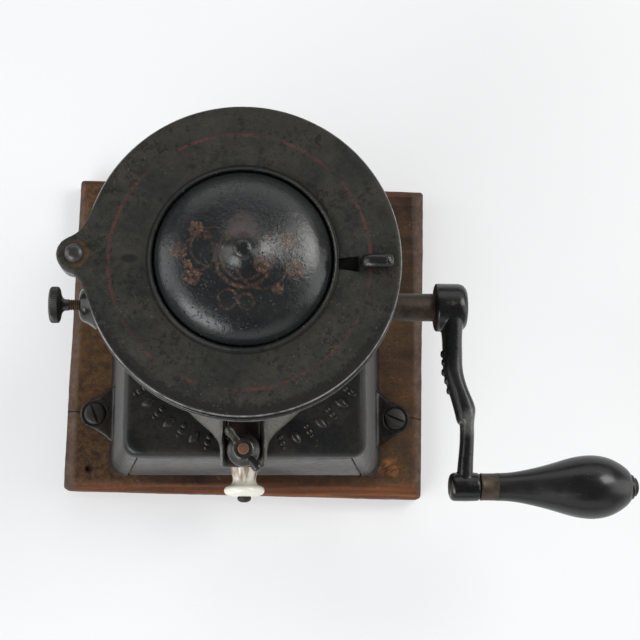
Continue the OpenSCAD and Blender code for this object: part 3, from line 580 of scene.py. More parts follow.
def lid_look():
    k = Look("lid_japan")
    r = k.reach(LID_X, LID_Y)
    x, y, z = k.xyz()
    cloud = k.noise(22, 5, 0.62, None, 0.5)
    mottle = k.noise(90, 6, 0.72)
    grit = k.noise(1300, 3, 0.65)
    dots = k.cells(560)
    brim = k.step(r, 0.0438, 0.0448)
    # Brim: matt, dusty, olive.
    matt = k.ramp(mottle, (0.3, (0.0105, 0.011, 0.010)), (0.5, (0.023, 0.0232, 0.0195)),
                  (0.7, (0.044, 0.041, 0.031)))
    matt = k.over(matt, k.step(cloud, 0.45, 0.65), 0.6, (0.033, 0.030, 0.022))
    matt = k.mix(k.step(grit, 0.45, 0.62, 0.0, 0.45), matt, (0.016, 0.0155, 0.013))
    black = k.mul(k.patches(330, 5, 0.75, 0.5, 0.58), k.patches(55, 4, 0.7, 0.42, 0.58))
    matt = k.over(matt, black, 0.75, (0.006, 0.0058, 0.005))
    rimward = k.mul(k.step(r, 0.0645, 0.0742), k.step(y, 0.02, -0.05, 0.1, 1.0))
    edge_noise = k.sub(1.0, k.noise(420, 6, 0.8))
    front_dark = k.step(k.add(k.mul(rimward, 0.3), k.mul(edge_noise, 0.6)), 0.45, 0.56)
    matt = k.over(matt, front_dark, 0.85, (0.0065, 0.006, 0.0052))
    pocks = k.mul(k.near(dots, 0.15, 0.3), k.patches(40, 4, 0.7, 0.48, 0.6))
    matt = k.over(matt, pocks, 0.75, (0.009, 0.008, 0.007))
    flecks = k.dots(420, 0.08, 0.16, 25, 3, 0.55, 0.5, 0.6)
    matt = k.over(matt, flecks, 0.5, (0.14, 0.12, 0.08))
    # Dome: smoother blue-black, with fine pits.
    glossy = k.ramp(cloud, (0.3, (0.0062, 0.0069, 0.0076)), (0.6, (0.011, 0.0118, 0.0122)),
                    (0.8, (0.019, 0.0192, 0.018)))
    glossy = k.over(glossy, k.patches(260, 6, 0.8, 0.52, 0.68), 0.5, (0.034, 0.032, 0.027))
    glossy = k.over(glossy, k.near(k.cells(700), 0.2, 0.4), 0.4, (0.004, 0.004, 0.005))
    body = k.mix(brim, glossy, matt)
    # Worn red line on the brim.
    line_r = k.add(k.reach(-1.9, 1.1), k.sway(k.noise(14, 2), 0.0016))
    line = k.band(line_r, 0.0625, 0.0004, 0.0009)
    left = k.mul(k.patches(38, 5, 0.7, 0.42, 0.58), k.patches(450, 4, 0.7, 0.36, 0.56))
    body = k.over(body, k.mul(line, left), 0.8, (0.082, 0.029, 0.024))
    # Worn painted sprays on the dome: clusters, scrolls and a ring round the boss, broken up by wear.
    ragged = k.sway(k.noise(210, 6, 0.75), 0.007)
    clusters = ((-30, 1.0, 3.6), (-22, 11.0, 3.2), (-24, -11.5, 3.4), (20.5, 5.5, 3.4), (24.5, -8.5, 4.0),
                (16.5, -18, 2.6), (8.5, -6.5, 3.4), (-26, -6, 1.4), (-17, 8, 1.6))
    scrolls = ((0.5, -3.5, 13.4, 0.5), (-7, -22.5, 4.2, 0.3), (1.5, -23.5, 3.4, 0.3), (-15, 2, 9.5, 0.25),
               (9, -5, 12.5, 0.2), (-21, -1, 8.0, 0.2), (0.5, -3, 10.8, 0.2))
    sprays = 0.0
    for px, py, size in clusters:
        away = k.add(k.reach(LID_X + px, LID_Y + py), ragged)
        sprays = k.most(sprays, k.near(away, size * MM, (size + 0.9) * MM))
    for px, py, size, wide in scrolls:
        away = k.add(k.reach(LID_X + px, LID_Y + py), k.mul(ragged, 0.35))
        sprays = k.most(sprays, k.mul(k.band(away, size * MM, wide * MM, 0.7 * MM), 0.52))
    flaked = k.mul(k.patches(480, 6, 0.8, 0.42, 0.56, 0.12, 1.0), k.patches(75, 4, 0.7, 0.34, 0.56, 0.2, 1.0))
    wreath = k.mul(sprays, flaked)
    gold = k.ramp(k.noise(520, 5, 0.75), (0.36, (0.036, 0.014, 0.008)), (0.52, (0.085, 0.036, 0.017)),
                  (0.66, (0.27, 0.16, 0.075)))
    body = k.over(body, wreath, 0.8, gold)
    disc = k.mul(k.near(k.add(k.reach(-0.6, 13.4), k.mul(ragged, 0.2)), 0.0068, 0.0074),
                  k.patches(300, 5, 0.7, 0.35, 0.6, 0.25, 0.7))
    body = k.mix(disc, body, (0.045, 0.025, 0.022))
    # Painted shade in the ring grooves, rust round the pivot, a casting flaw, bare edge.
    groove_shade = k.most(k.band(r, 0.0427, 0.0002, 0.0006), k.band(r, 0.0458, 0.0002, 0.0006))
    body = k.over(body, groove_shade, 0.7, (0.004, 0.004, 0.004))
    ear = k.band(k.reach(EAR_X, EAR_Y), 0.0056, 0.0004, 0.0014)
    ear = k.mul(k.mul(ear, k.step(mottle, 0.4, 0.6)), k.step(x, -0.083, -0.076, 0.2, 1.0))
    body = k.over(body, ear, 0.85, (0.11, 0.052, 0.02))
    flaw = k.add(k.length(k.stretch((1, 1.9, 0), (0.0545, -0.0032, 0))), k.mul(ragged, 0.6))
    flaw = k.near(flaw, 0.0022, 0.0058)
    body = k.over(body, flaw, 0.85, (0.006, 0.006, 0.005))
    # Black between the ring and the tab: a core mark, and the tab's painted shadow over it.
    across = k.far(y, (TAB_Y - 0.4) * MM)
    across = k.sub(across, k.mul(k.sub(x, 0.045), 0.12))
    core_mark_and_shadow = k.mul(k.step(x, 0.0448, 0.0455), k.near(x, 0.0545, 0.056))
    core_mark_and_shadow = k.mul(core_mark_and_shadow, k.near(across, 0.0024, 0.0029))
    body = k.over(body, core_mark_and_shadow, 0.92, (0.003, 0.003, 0.003))
    edge = k.mul(k.edges(0.53, 0.6), k.step(r, 0.0725, 0.0745))
    body = k.over(body, edge, 0.85, (0.3, 0.295, 0.28))
    # The thumb tab keeps more of its gloss; the outermost edge is rubbed bright.
    tab = k.mul(k.step(z, 0.2298, 0.2308), brim)
    body = k.over(body, tab, 0.85, (0.006, 0.006, 0.0062))
    rub = k.mul(k.band(r, 0.0757, 0.00012, 0.0003), k.patches(120, 5, 0.7, 0.36, 0.6, 0.15, 0.9))
    rub = k.mul(rub, k.step(k.reach(EAR_X, EAR_Y), 0.021, 0.026))
    body = k.over(body, rub, 0.75, (0.34, 0.335, 0.32))
    rough = k.sub(k.add(k.mul(brim, 0.34), 0.24), k.mul(tab, 0.34))
    rough = k.add(rough, k.sway(cloud, 0.3))
    rough = k.add(rough, k.mul(wreath, 0.3), clamp=True)
    pressed = k.mul(k.most(pocks, flaw), -1.0)
    n = k.relief((k.noise(80, 4, 0.55), 0.5, 0.5), (grit, 0.12, 0.7), (k.noise(420, 4, 0.6), 0.25, 0.6),
                 (pressed, 0.4, 0.7))
    spec = k.sub(k.add(k.mul(brim, -0.24), k.add(k.mul(tab, 0.25), 0.46)), k.mul(core_mark_and_shadow, 0.2))
    return k.finish(body, rough, 0.0, n, Specular_IOR_Level=spec)


def rust_look(name, dark, light, metal, gloss, scale=120, ring=0.0):
    """Iron between rusty and bare; ring is how close the turning marks along X are."""
    k = Look(name)
    blot = k.noise(scale, 6, 0.7, None, 0.3)
    fine = k.noise(scale * 6, 4, 0.7)
    pit = k.cells(scale * 3)
    body = k.ramp(blot, (0.32, dark), (0.5, tuple((a + b) / 2 for a, b in zip(dark, light))), (0.7, light))
    body = k.mix(k.step(fine, 0.52, 0.7, 0.0, 0.5), body, scaled(dark, 0.35))
    body = k.over(body, k.edges(0.53, 0.6), 0.5, scaled(light, 1.8))
    rough = k.step(blot, 0.3, 0.7, gloss, gloss + 0.25)
    layers = [(fine, 0.16, 0.6), (pit, 0.2, 0.3)]
    if ring:
        layers.append((k.math("SINE", k.mul(k.xyz()[0], ring)), 0.03, 0.4))
    return k.finish(body, rough, metal, k.relief(*layers))


def grip_look():
    k = Look("grip_lacquer")
    streak = k.noise(1.0, 4, 0.6, k.stretch((40, 420, 420)))
    cloud = k.noise(55, 4, 0.6)
    scratch = k.step(k.noise(1.0, 3, 0.7, k.stretch((90, 900, 900), turn=(0.4, 0.3, 0.7))), 0.66, 0.7)
    chips = k.dots(330, 0.05, 0.1, 30, 3, 0.55, 0.5, 0.62)
    body = k.ramp(cloud, (0.3, (0.0065, 0.0065, 0.007)), (0.7, (0.011, 0.011, 0.011)))
    body = k.over(body, scratch, 0.4, (0.05, 0.05, 0.048))
    body = k.over(body, chips, 0.6, (0.11, 0.1, 0.085))
    rough = k.add(k.step(cloud, 0.3, 0.7, 0.26, 0.4), k.mul(scratch, 0.15))
    n = k.relief((streak, 0.12, 0.35), (k.noise(120, 3), 0.4, 0.35))
    return k.finish(body, rough, 0.0, n, Coat_Weight=0.1, Coat_Roughness=0.15, Specular_IOR_Level=0.35)


def brass_look(name, dark, light, metal=0.85):
    k = Look(name)
    cloud = k.noise(160, 5, 0.6)
    lines = k.noise(1.0, 3, 0.6, k.stretch((2600, 90, 90)))
    body = k.ramp(cloud, (0.3, dark), (0.7, light))
    body = k.over(body, k.hollows(), 0.6, scaled(dark, 0.3))
    rough = k.step(cloud, 0.3, 0.7, 0.36, 0.58)
    return k.finish(body, rough, metal, k.relief((lines, 0.05, 0.5)))


def porcelain_look():
    k = Look("porcelain")
    stain = k.noise(150, 5, 0.65, k.stretch((1, 0.35, 1)), 0.5)
    streak = k.noise(1.0, 4, 0.6, k.stretch((420, 60, 420)))
    neck = k.step(k.xyz()[1], -0.0945, -0.0875)
    brown = k.mul(neck, k.step(streak, 0.38, 0.62, 0.25, 1.0))
    body = k.mix(k.step(stain, 0.5, 0.75, 0.0, 0.25), (0.80, 0.78, 0.68), (0.72, 0.66, 0.50))
    body = k.over(body, brown, 0.85, k.ramp(stain, (0.35, (0.13, 0.062, 0.025)), (0.6, (0.36, 0.22, 0.11))))
    hole = k.mul(k.near(k.reach(KNOB_X, z=KNOB_Z), 0.0046, 0.0062), 0.5)
    body = k.mix(hole, body, (0.2, 0.15, 0.09))
    n = k.relief((k.noise(90, 3), 0.25, 0.3))
    return k.finish(body, k.step(stain, 0.4, 0.7, 0.14, 0.3), 0.0, n, Coat_Weight=0.5, Coat_Roughness=0.06)


def tin_look():
    k = Look("tin_sheet")
    cloud = k.noise(45, 6, 0.7, None, 0.6)
    spots = k.dots(160, 0.08, 0.2, 30, 3, 0.55, 0.45, 0.6)
    body = k.ramp(cloud, (0.3, (0.2, 0.19, 0.17)), (0.55, (0.34, 0.33, 0.3)), (0.75, (0.22, 0.16, 0.1)))
    body = k.over(body, spots, 0.8, (0.1, 0.05, 0.025))
    n = k.relief((k.noise(25, 3), 0.8, 0.4))
    return k.finish(body, k.step(cloud, 0.3, 0.7, 0.36, 0.62), 0.8, n)


wood = wood_look()
box_black = japan_look("box_japan", BLACK, (0.026, 0.021, 0.014), 0.45, 0.27, 0.6, 0.5, coat=0.12, spec=0.26,
                       veil=0.36, tint=(0.016, 0.0105, 0.006), grime=(0.013, 0.0085, 0.0055))
hopper_black = japan_look("hopper_japan", (0.011, 0.0112, 0.0105), (0.036, 0.027, 0.017), 0.5, 0.28, 0.6, 0.9,
                          coat=0.15, spec=0.35, gusset_dust_and_light=(0.15, 0.147, 0.132))
ornament_black = japan_look("ornament_japan", (0.009, 0.008, 0.006), (0.026, 0.019, 0.011), 0.5, 0.26, 0.5,
                            1.0, coat=0.25)
crank_black = japan_look("crank_japan", (0.0042, 0.0044, 0.0045), (0.013, 0.0105, 0.008), 0.15, 0.2, 0.4, 0.7,
                         coat=0.2, spec=0.32, bare_and_highlight=(0.11, 0.109, 0.105))
lid_black = lid_look()
dark_iron = japan_look("dark_iron", (0.02, 0.02, 0.018), (0.06, 0.045, 0.028), 0.4, 0.4, 0.7, 0.7)
nut_iron = japan_look("nut_iron", (0.016, 0.0165, 0.015), (0.05, 0.042, 0.028), 0.3, 0.24, 0.5, 0.9, coat=0.2,
                      spec=0.5)
screw_iron = rust_look("screw_iron", (0.006, 0.0048, 0.0036), (0.02, 0.015, 0.0095), 0.15, 0.42)
shaft_rust = rust_look("shaft_rust", (0.005, 0.0033, 0.0025), (0.058, 0.035, 0.019), 0.4, 0.36, 100, 4000)
stud_rust = rust_look("stud_rust", (0.045, 0.019, 0.010), (0.15, 0.066, 0.034), 0.1, 0.6, 260)
orange_rust = rust_look("orange_rust", (0.018, 0.008, 0.003), (0.22, 0.085, 0.022), 0.0, 0.75, 420)
thread_brown = rust_look("thread_brown", (0.02, 0.012, 0.006), (0.11, 0.066, 0.024), 0.5, 0.4, 220)
burr_iron = rust_look("burr_iron", (0.035, 0.03, 0.026), (0.12, 0.11, 0.1), 0.7, 0.38, 90)
spring_steel = rust_look("spring_steel", (0.06, 0.055, 0.05), (0.2, 0.19, 0.18), 0.8, 0.35, 120)
bronze = brass_look("bearing_bronze", (0.14, 0.085, 0.035), (0.34, 0.22, 0.1))
ferrule_brass = brass_look("ferrule_brass", (0.03, 0.021, 0.014), (0.075, 0.055, 0.037), 0.4)
lacquer = grip_look()
porcelain = porcelain_look()
tin = tin_look()


def dress(ob, body, material, *nodes):
    """Gives a finished piece its material, its body and the CAD nodes it stands for."""
    ob.data.materials.clear()
    ob.data.materials.append(material)
    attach(ob, body)
    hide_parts(*nodes)
    return ob


# ---------------------------------------------------------------- board
def board_piece():
    turn = math.radians(BOARD_SKEW)
    c, s = math.cos(turn), math.sin(turn)

    def ring(z, by):
        out = []
        for x, y in rounded_rect(BOARD_W / 2 - by, BOARD_D / 2 - by, (2.0, 2.0, 2.0, 2.4), side=46, corner=5):
            wear = max(0, 0.25 + wobble((x, y, z * 0.6), 0.03, 0.3) + wobble((x, y, z), 0.25, 0.2))
            pull = 1 - wear / 110
            x, y = x * pull + BOARD_SHIFT[0], y * pull + BOARD_SHIFT[1]
            out.append((x * c - y * s, x * s + y * c, z))
        return out

    levels = ((0, 0.7), (0.7, 0.1), (2, 0), (8, 0), (14.2, 0), (15, 0.2), (15.5, 0.65), (17, 2.1),
              (19.1, 4.3), (19.65, 5.0), (19.93, 5.7), (20, 6.6))
    ob = stack("board", [ring(z, by) for z, by in levels], angle=50)
    cut(ob, rod("hole", "Z", 18.3, 21, 1.8, (*EMPTY_HOLE, 0), 24))
    flatten_large(ob)
    return dress(ob, "stand", wood, "base_board")


# ---------------------------------------------------------------- box
def lean_at(lean, z):
    return lean * (z - BOX_Z) / BOX_H


def box_ring(z, extra=0, radius=9, flare=0):
    hw = BOX_W / 2 - lean_at(SIDE_LEAN, z) - extra + flare
    hd = BOX_D / 2 - lean_at(FRONT_LEAN, z) - extra
    r = max(2, radius - extra * 0.5)
    return [(x, y, z) for x, y in rounded_rect(hw, hd, (r, r, r, r), corner=8, side=12)]


def lug_outline(x, y, way):
    """Bell-shaped ear round a screw, growing out of the box's side."""
    root = BOX_W / 2 - 3
    half = [(root - x, -19.5), (-8.6, -16.6), (-6.2, -14.2), (-3.2, -12), (-0.2, -10.4)]
    line = half + arc(9.3, -75, 76, 10) + [(u, -v) for u, v in reversed(half)]
    if way > 0:
        return [(x + u, y + v) for u, v in line]
    return [(-x - u, y + v) for u, v in reversed(line)]


def box_piece():
    levels = [(20, -0.6, 1.5), (21.5, -0.3, 1.3), (23.2, 0, 0.9), (25.5, 0, 0.4), (30, 0, 0), (45, 0, 0),
              (60, 0, 0), (67.5, 0, 0), (69.3, 0.25, 0), (70.6, 0.9, 0), (71.4, 1.8, 0), (71.85, 2.9, 0),
              (72, 4.2, 0)]
    pieces = [stack("shell", [box_ring(z, e, flare=f) for z, e, f in levels])]
    for x, y in LUGS:
        seat = [(0, 25), (9.0, 25), (8.9, 26.2), (8.2, 26.8), (7.4, 26.5), (7.1, LUG_TOP), (0, LUG_TOP)]
        pieces += [
            plate("lug", lug_outline(abs(x), y, x), BOX_Z, LUG_TOP, 1.4),
            lathe("seat", seat, (x, y, 0), steps=48),
        ]
    pieces.append(rod("rear_lug", "Z", BOX_Z, LUG_TOP, 9, (0, REAR_LUG_Y, 0)))
    pieces.append(block("rear_root", (-12, BOX_D / 2 - 4, BOX_Z), (12, BOX_D / 2 + 4.5, LUG_TOP)))
    pieces.append(rod("pad", "Z", 68.2, BOX_TOP, 9, STUD))
    ob = cast(join("box", *pieces), 0.85, 5, 0.3)
    cut(ob, stack("hollow", [box_ring(z, WALL) for z in (18, 67.5)]))
    low, high = DOOR_LOW + 0.7, DOOR_HIGH + 0.5
    door = [(-low, 19), (low, 19), (high, 68), (-high, 68)]
    cut(ob, stack("door", [[(x, y, z) for x, z in door] for y in (-70, -100)]))
    cut(ob, rod("drop", "Z", 60, 80, 42, (0, 0, 0), 96))
    cut(ob, rod("stud_hole", "Z", 60, 80, STUD_R + 0.05, STUD, 32))
    for x, y in LUGS + ((0, REAR_LUG_Y),):
        cut(ob, rod("screw_hole", "Z", 15, 30, SCREW_R + 0.05, (x, y, 0), 24))
    for x in (-60.7, 60.7):
        cut(ob, block("guide", (x - 1.5, -70, 20.5), (x + 1.5, 75.5, 68.5)), how="UNION")
    # The lip that hooks the hopper's foot at the back.
    cut(ob, block("lip_post", (-14, 60.4, 71.5), (14, 66.3, 82.3)), how="UNION")
    cut(ob, block("lip", (-14, 55, 77.4), (14, 62, 81.4)), how="UNION")
    shade(ob, 40)
    return dress(ob, "stand", box_black, "mill_box")


def mound(away, turn, tilt, long_half, wide_half, high, leaf):
    """A low raised bead, or a leaf with pointed ends, on the roof."""
    x, y = away * math.cos(turn), away * math.sin(turn)
    c, s = math.cos(turn + tilt), math.sin(turn + tilt)
    rings = []
    for level in range(6):
        t = level / 5
        size = math.cos(t * math.pi / 2 * 0.92)
        z = BOX_TOP - 0.25 + high * math.sin(t * math.pi / 2)
        ring = []
        for j in range(24):
            u, v = math.cos(TAU * j / 24), math.sin(TAU * j / 24)
            if leaf:
                v *= 1 - 0.4 * u * u
            u, v = u * long_half * size, v * wide_half * size
            ring.append((x + u * c - v * s, y + u * s + v * c, z))
        rings.append(ring)
    return stack("mound", rings, angle=60)


def ornament_piece():
    """Raised leaves and beads in an arc on the roof, in front of the hopper."""
    parts = []
    for i in [*range(-8, -1), *range(2, 9)]:
        turn = math.radians(-90 + math.copysign(4 + abs(i) * 6.6, i))
        if i % 2:
            parts.append(mound(73, turn, math.copysign(0.3, i), 4.5, 2.7, 1.8, True))
        else:
            parts += [mound(73 + out, turn, 0, size, size, 1.35, False)
                      for out, size in ((-3.0, 1.8), (0.6, 2.0), (3.5, 1.3))]
    return dress(join("roof_ornament", *parts), "stand", ornament_black, "mill_box")


def slotted(name, at, head_r, head_h, slot_turn, slot_w, material, node):
    """A domed screw standing on at, with the slot turned by degrees."""
    head = ((0.97, 0), (1, 0.12), (1, 0.38), (0.93, 0.66), (0.75, 0.86), (0.4, 0.98), (0, 1))
    line = [(0, -10), (SCREW_R, -10), (SCREW_R, 0)] + [(head_r * r, head_h * h) for r, h in head]
    ob = lathe(name, soften(line, 0.3, 2), at, steps=64)
    slot = block("slot", (-head_r - 1, -slot_w / 2, head_h * 0.45), (head_r + 1, slot_w / 2, head_h + 2))
    turn = Matrix.Rotation(math.radians(slot_turn), 4, "Z")
    slot.data.transform(Matrix.Translation(Vector(at) * MM) @ turn)
    cut(ob, slot)
    shade(ob, 32)
    return dress(ob, "stand", material, node)


# ---------------------------------------------------------------- hopper
def bowl_line(r0, r1, z0, z1, steps=16):
    """A quarter of an ellipse, from the bottom out and up."""
    turns = [math.pi / 2 * i / steps for i in range(steps + 1)]
    return [(r0 + (r1 - r0) * math.sin(a), z0 + (z1 - z0) * (1 - math.cos(a))) for a in turns]


def foot_outline():
    """Foot disc flaring into the clamping lug."""
    left, right = STUD_X - 13.5, STUD_X + 13.5
    side = ((0, -83), (0.2, -73), (1.4, -67), (4.6, -61.4))
    out = curve([(right + x, y) for x, y in side] + [(25, -54.5), (40, -43)], 4)
    back = curve([(-40, -43), (-27, -54)] + [(left - x, y) for x, y in reversed(side)], 4)
    tip = soften([(left, -82), (left + 0.3, -84.5), (right - 0.3, -84.5), (right, -82)], 3, 4)[1:-1]
    return out + arc(60, -42, 224, 4) + back + tip


# Where the gusset's outline runs, and how far each point moves back as it rises.
GUSSET_PLAN = ((13.3, -76, 1), (14.6, -70, 1), (18.4, -65, 0.9), (24.8, -59.6, 0.8), (32.5, -52.4, 0.7),
               (36, -44, 0.6), (30, -30, 0), (12, -30, 0), (11.2, -50, 0.5), (10.7, -70, 1))


def hopper_piece():
    skirt = [(0, 72), (57, 72), (57, 77), (56.5, 78), (52, 78.8), (47, 81.2), (43, 86), (40, 92), (38, 100),
             (36.5, 110), (36, 118), (35, 135), (33.5, 156), (0, 156)]
    parts = [lathe("skirt", skirt, steps=96), plate("foot", foot_outline(), 72, 76.4, 1.1)]
    # Side walls of the clamping lug.
    for side in (-1, 1):
        x = STUD_X + side * 11.8
        wall = [(-40, 72), (-81.5, 72), (-82.5, 77.6), (-77, 79), (-70, 80.2), (-60, 82.5), (-50, 87),
                (-40, 93)]
        wall = soften(wall, 1.5, 2, loop=True)
        wall.reverse()
        parts.append(plate("wall", wall, x - 1.7, x + 1.7, 0.7, lambda a, b, c: (c, a, b)))
        rings = []
        for z, back in ((73, 0), (77.5, 0.4), (79.5, 1.8), (82, 4.6), (85, 8.5), (89, 13.5), (95, 20)):
            ring = []
            for x, y, pull in GUSSET_PLAN:
                ring.append((STUD_X + side * max(x - back * 0.12, 10.7), min(y + back * pull, -28), z))
            rings.append(ring if side > 0 else list(reversed(ring)))
        parts.append(stack("gusset_dust_and_light", rings))
    drum = soften([(0, -41), (36, -41), (36, 36), (0, 36)], 4, 4)
    parts.append(lathe("drum", drum, SHAFT, "X"))
    right = [(0, 30), (26, 30), (24, 37), (20, 44), (16.5, 54), (15, 62), (15, 75), (14.2, 76), (0, 76)]
    parts.append(lathe("right_boss", right, SHAFT, "X"))
    left = [(0, -90.7), (5.5, -90.6), (8.2, -89.9), (9.4, -88.4), (9.9, -86.6), (11.2, -84.6),
            (12.6, -82.8), (13.8, -81.4), (14, -79.5), (13.8, -77.6), (12.4, -76.2), (12, -72), (12, -62),
            (15, -54), (22, -44), (24, -38), (0, -38)]
    parts.append(lathe("left_boss", left, SHAFT, "X"))
    outer = bowl_line(32, BOWL_R + 4, 152, RIM_Z - 3)
    inner = bowl_line(28, BOWL_R, 160, RIM_Z)
    bead = [(BOWL_R + r, RIM_Z - z) for r, z in ((4.5, 3), (5.0, 1.7), (4.8, 0.7), (3.9, 0), (1, 0))]
    parts.append(lathe("bowl", [(0, 152)] + outer + bead + list(reversed(inner)) + [(0, 160)], steps=144))
    parts.append(rod("ear", "Z", RIM_Z - 11, RIM_Z, EAR_R, EAR))
    parts.append(block("ear_root", (EAR_X, EAR_Y - 7, RIM_Z - 11), (EAR_X + 8, EAR_Y + 7, RIM_Z)))
    ob = cast(join("hopper_casting", *parts), 0.9, 4, 0.35)
    # Room for the burrs, worm, spring, bush, journal and setting screw, and the throat over the worm.
    bores = (("X", -36, -5, 31, SHAFT), ("X", -6, 31, 15.5, SHAFT), ("X", 30, 52, 10.5, SHAFT),
             ("X", 51.9, 80, 11.05, SHAFT), ("X", -68.3, -35, 5.56, SHAFT), ("X", -95, -67, 3.12, SHAFT),
             ("Z", 124, 172, 13.5, (14, 0, 0)))
    cut(ob, *(rod("bore", *bore) for bore in bores))
    cut(ob, lathe("chute", [(0, 70), (42.4, 70), (42, 71), (31, 95), (0, 95)]))
    column = rod("column", "Z", 90, 124, 31, (0, 0, 0), 96)
    cut(column, block("under_burrs", (-36, -32, 80), (-5, 32, 130)), how="INTERSECT")
    pin_hole = rod("pin_hole", "Z", RIM_Z - 20, RIM_Z + 5, PIN_R + 0.05, EAR)
    cut(ob, pin_hole, rod("stud_hole", "Z", 60, 90, STUD_R + 0.4, STUD), column)
    shade(ob, 40)
    return dress(ob, "stand", hopper_black, "hopper_foot", "hopper_housing", "hopper_bowl", "hopper_rim")


def wing_nut_piece():
    z = BOX_TOP + 4.1
    body = soften([(0, 0), (9.1, 0), (9.6, 0.6), (9.6, 5.4), (8.9, 6.6), (7.2, 8.1), (6.2, 9.6),
                   (5.2, 10.1), (0, 10.1)], 0.5)
    parts = [lathe("nut_body", body, (STUD_X, STUD_Y, z), steps=64)]
    # Distance out, half width, and the heights of the lower and upper edge.
    wing = ((4, 3.0, 5.2, 8.8), (6.5, 2.5, 6.6, 10.6), (8.6, 2.3, 7.2, 12.8), (10.6, 2.6, 7.8, 14.2),
            (12.2, 3.1, 8.4, 15.2), (13.8, 2.9, 9.2, 15.4), (15.0, 2.0, 10.2, 14.8),
            (15.5, 1.0, 11.4, 13.8))
    for turn in (128, 306):
        a = math.radians(turn)
        c, s = math.cos(a), math.sin(a)
        rings = []
        for out, wide, low, high in wing:
            ring = []
            for u, v in squircle(20, 0.8, 1):
                u *= wide
                h = (low + high) / 2 + v * (high - low) / 2
                ring.append((STUD_X + out * c - u * s, STUD_Y + out * s + u * c, z + h))
            rings.append(ring)
        parts.append(stack("wing", rings))
    ob = cast(join("wing_nut_casting", *parts), 0.33, 6, 0.5)
    cut(ob, rod("bore", "Z", z - 5, z + 30, STUD_R + 0.1, STUD, 40))
    shade(ob, 45)
    return dress(ob, "wing_nut", nut_iron, "wing_nut")


def stud_piece():
    top = BOX_TOP + 16.5
    line = [(0, 68.3)]
    z = 68.3
    while z < top - 1.2:
        line += [(STUD_R, z), (STUD_R, z + 0.35), (STUD_R - 0.35, z + 0.7), (STUD_R - 0.35, z + 0.85)]
        z += 1.25
    line += [(STUD_R, top - 0.9), (STUD_R - 0.3, top - 0.25), (STUD_R - 1.1, top), (0, top)]
    ob = lathe("clamp_stud", line, STUD, steps=40)
    return dress(ob, "stand", stud_rust, "hopper_stud")


# ---------------------------------------------------------------- lid
# How far the lid's ear stands out from the rim, by degrees from its middle.
EAR_BULGE = ((0, 12.7), (2, 12.2), (4, 10.5), (5.4, 7.9), (6.6, 5.2), (8.2, 3.1), (10.2, 1.7), (12.4, 0.8),
             (15.5, 0.25), (19, 0))
EAR_SPAN = 19
LID_TOP = LID_Z + LID_T
CROWN = LID_TOP + DOME_H + BOSS_H


def ear_bulge(away):
    for (a, u), (b, v) in zip(EAR_BULGE, EAR_BULGE[1:]):
        if a <= away < b:
            return u + (v - u) * (away - a) / (b - a)
    return 0


def lid_line():
    """The lid's section from the boss over the dome and brim, and back under to the hollow's top."""
    shape = [(1, 0), (0.985, 0.09), (0.94, 0.25), (0.85, 0.42), (0.72, 0.55), (0.57, 0.64), (0.43, 0.715),
             (0.31, 0.79), (0.22, 0.87), (0.165, 0.94), (0.135, 0.985)]
    dome = [(r * DOME_R, LID_TOP - 0.6 + DOME_H * h) for r, h in curve(shape, 3)]
    boss = ((1.6, -0.05), (3.0, -0.25), (4.0, -0.75), (4.55, -1.4), (4.85, -2.0))
    outer = (
        # the ring round the dome
        (42.45, -1.5), (42.75, -1.3), (43.0, -0.2), (43.5, 0.4), (44.3, 0.4), (44.9, 0), (45.4, -1.2),
        (45.9, -1.4), (46.6, -1.1),
        # the dished brim
        (50, -1.15), (55, -1.4), (60, -1.5), (65, -1.4), (69, -1.0), (71.5, -0.55), (73.2, -0.15),
        (74.3, 0), (75.1, -0.12), (75.7, -0.5), (75.95, -1.1), (76, -1.8),
    )
    under = ((75.85, 0.35), (75.5, 0), (74, 0), (60, 0), (40.5, 0), (39.4, 0.4))
    return ([(r, CROWN + h) for r, h in boss] + dome[-2::-1] + [(r, LID_TOP + h) for r, h in outer]
            + [(r, LID_Z + h) for r, h in under] + [(39.4 * r, LID_Z + 17.4 * h) for r, h in shape[1:]])


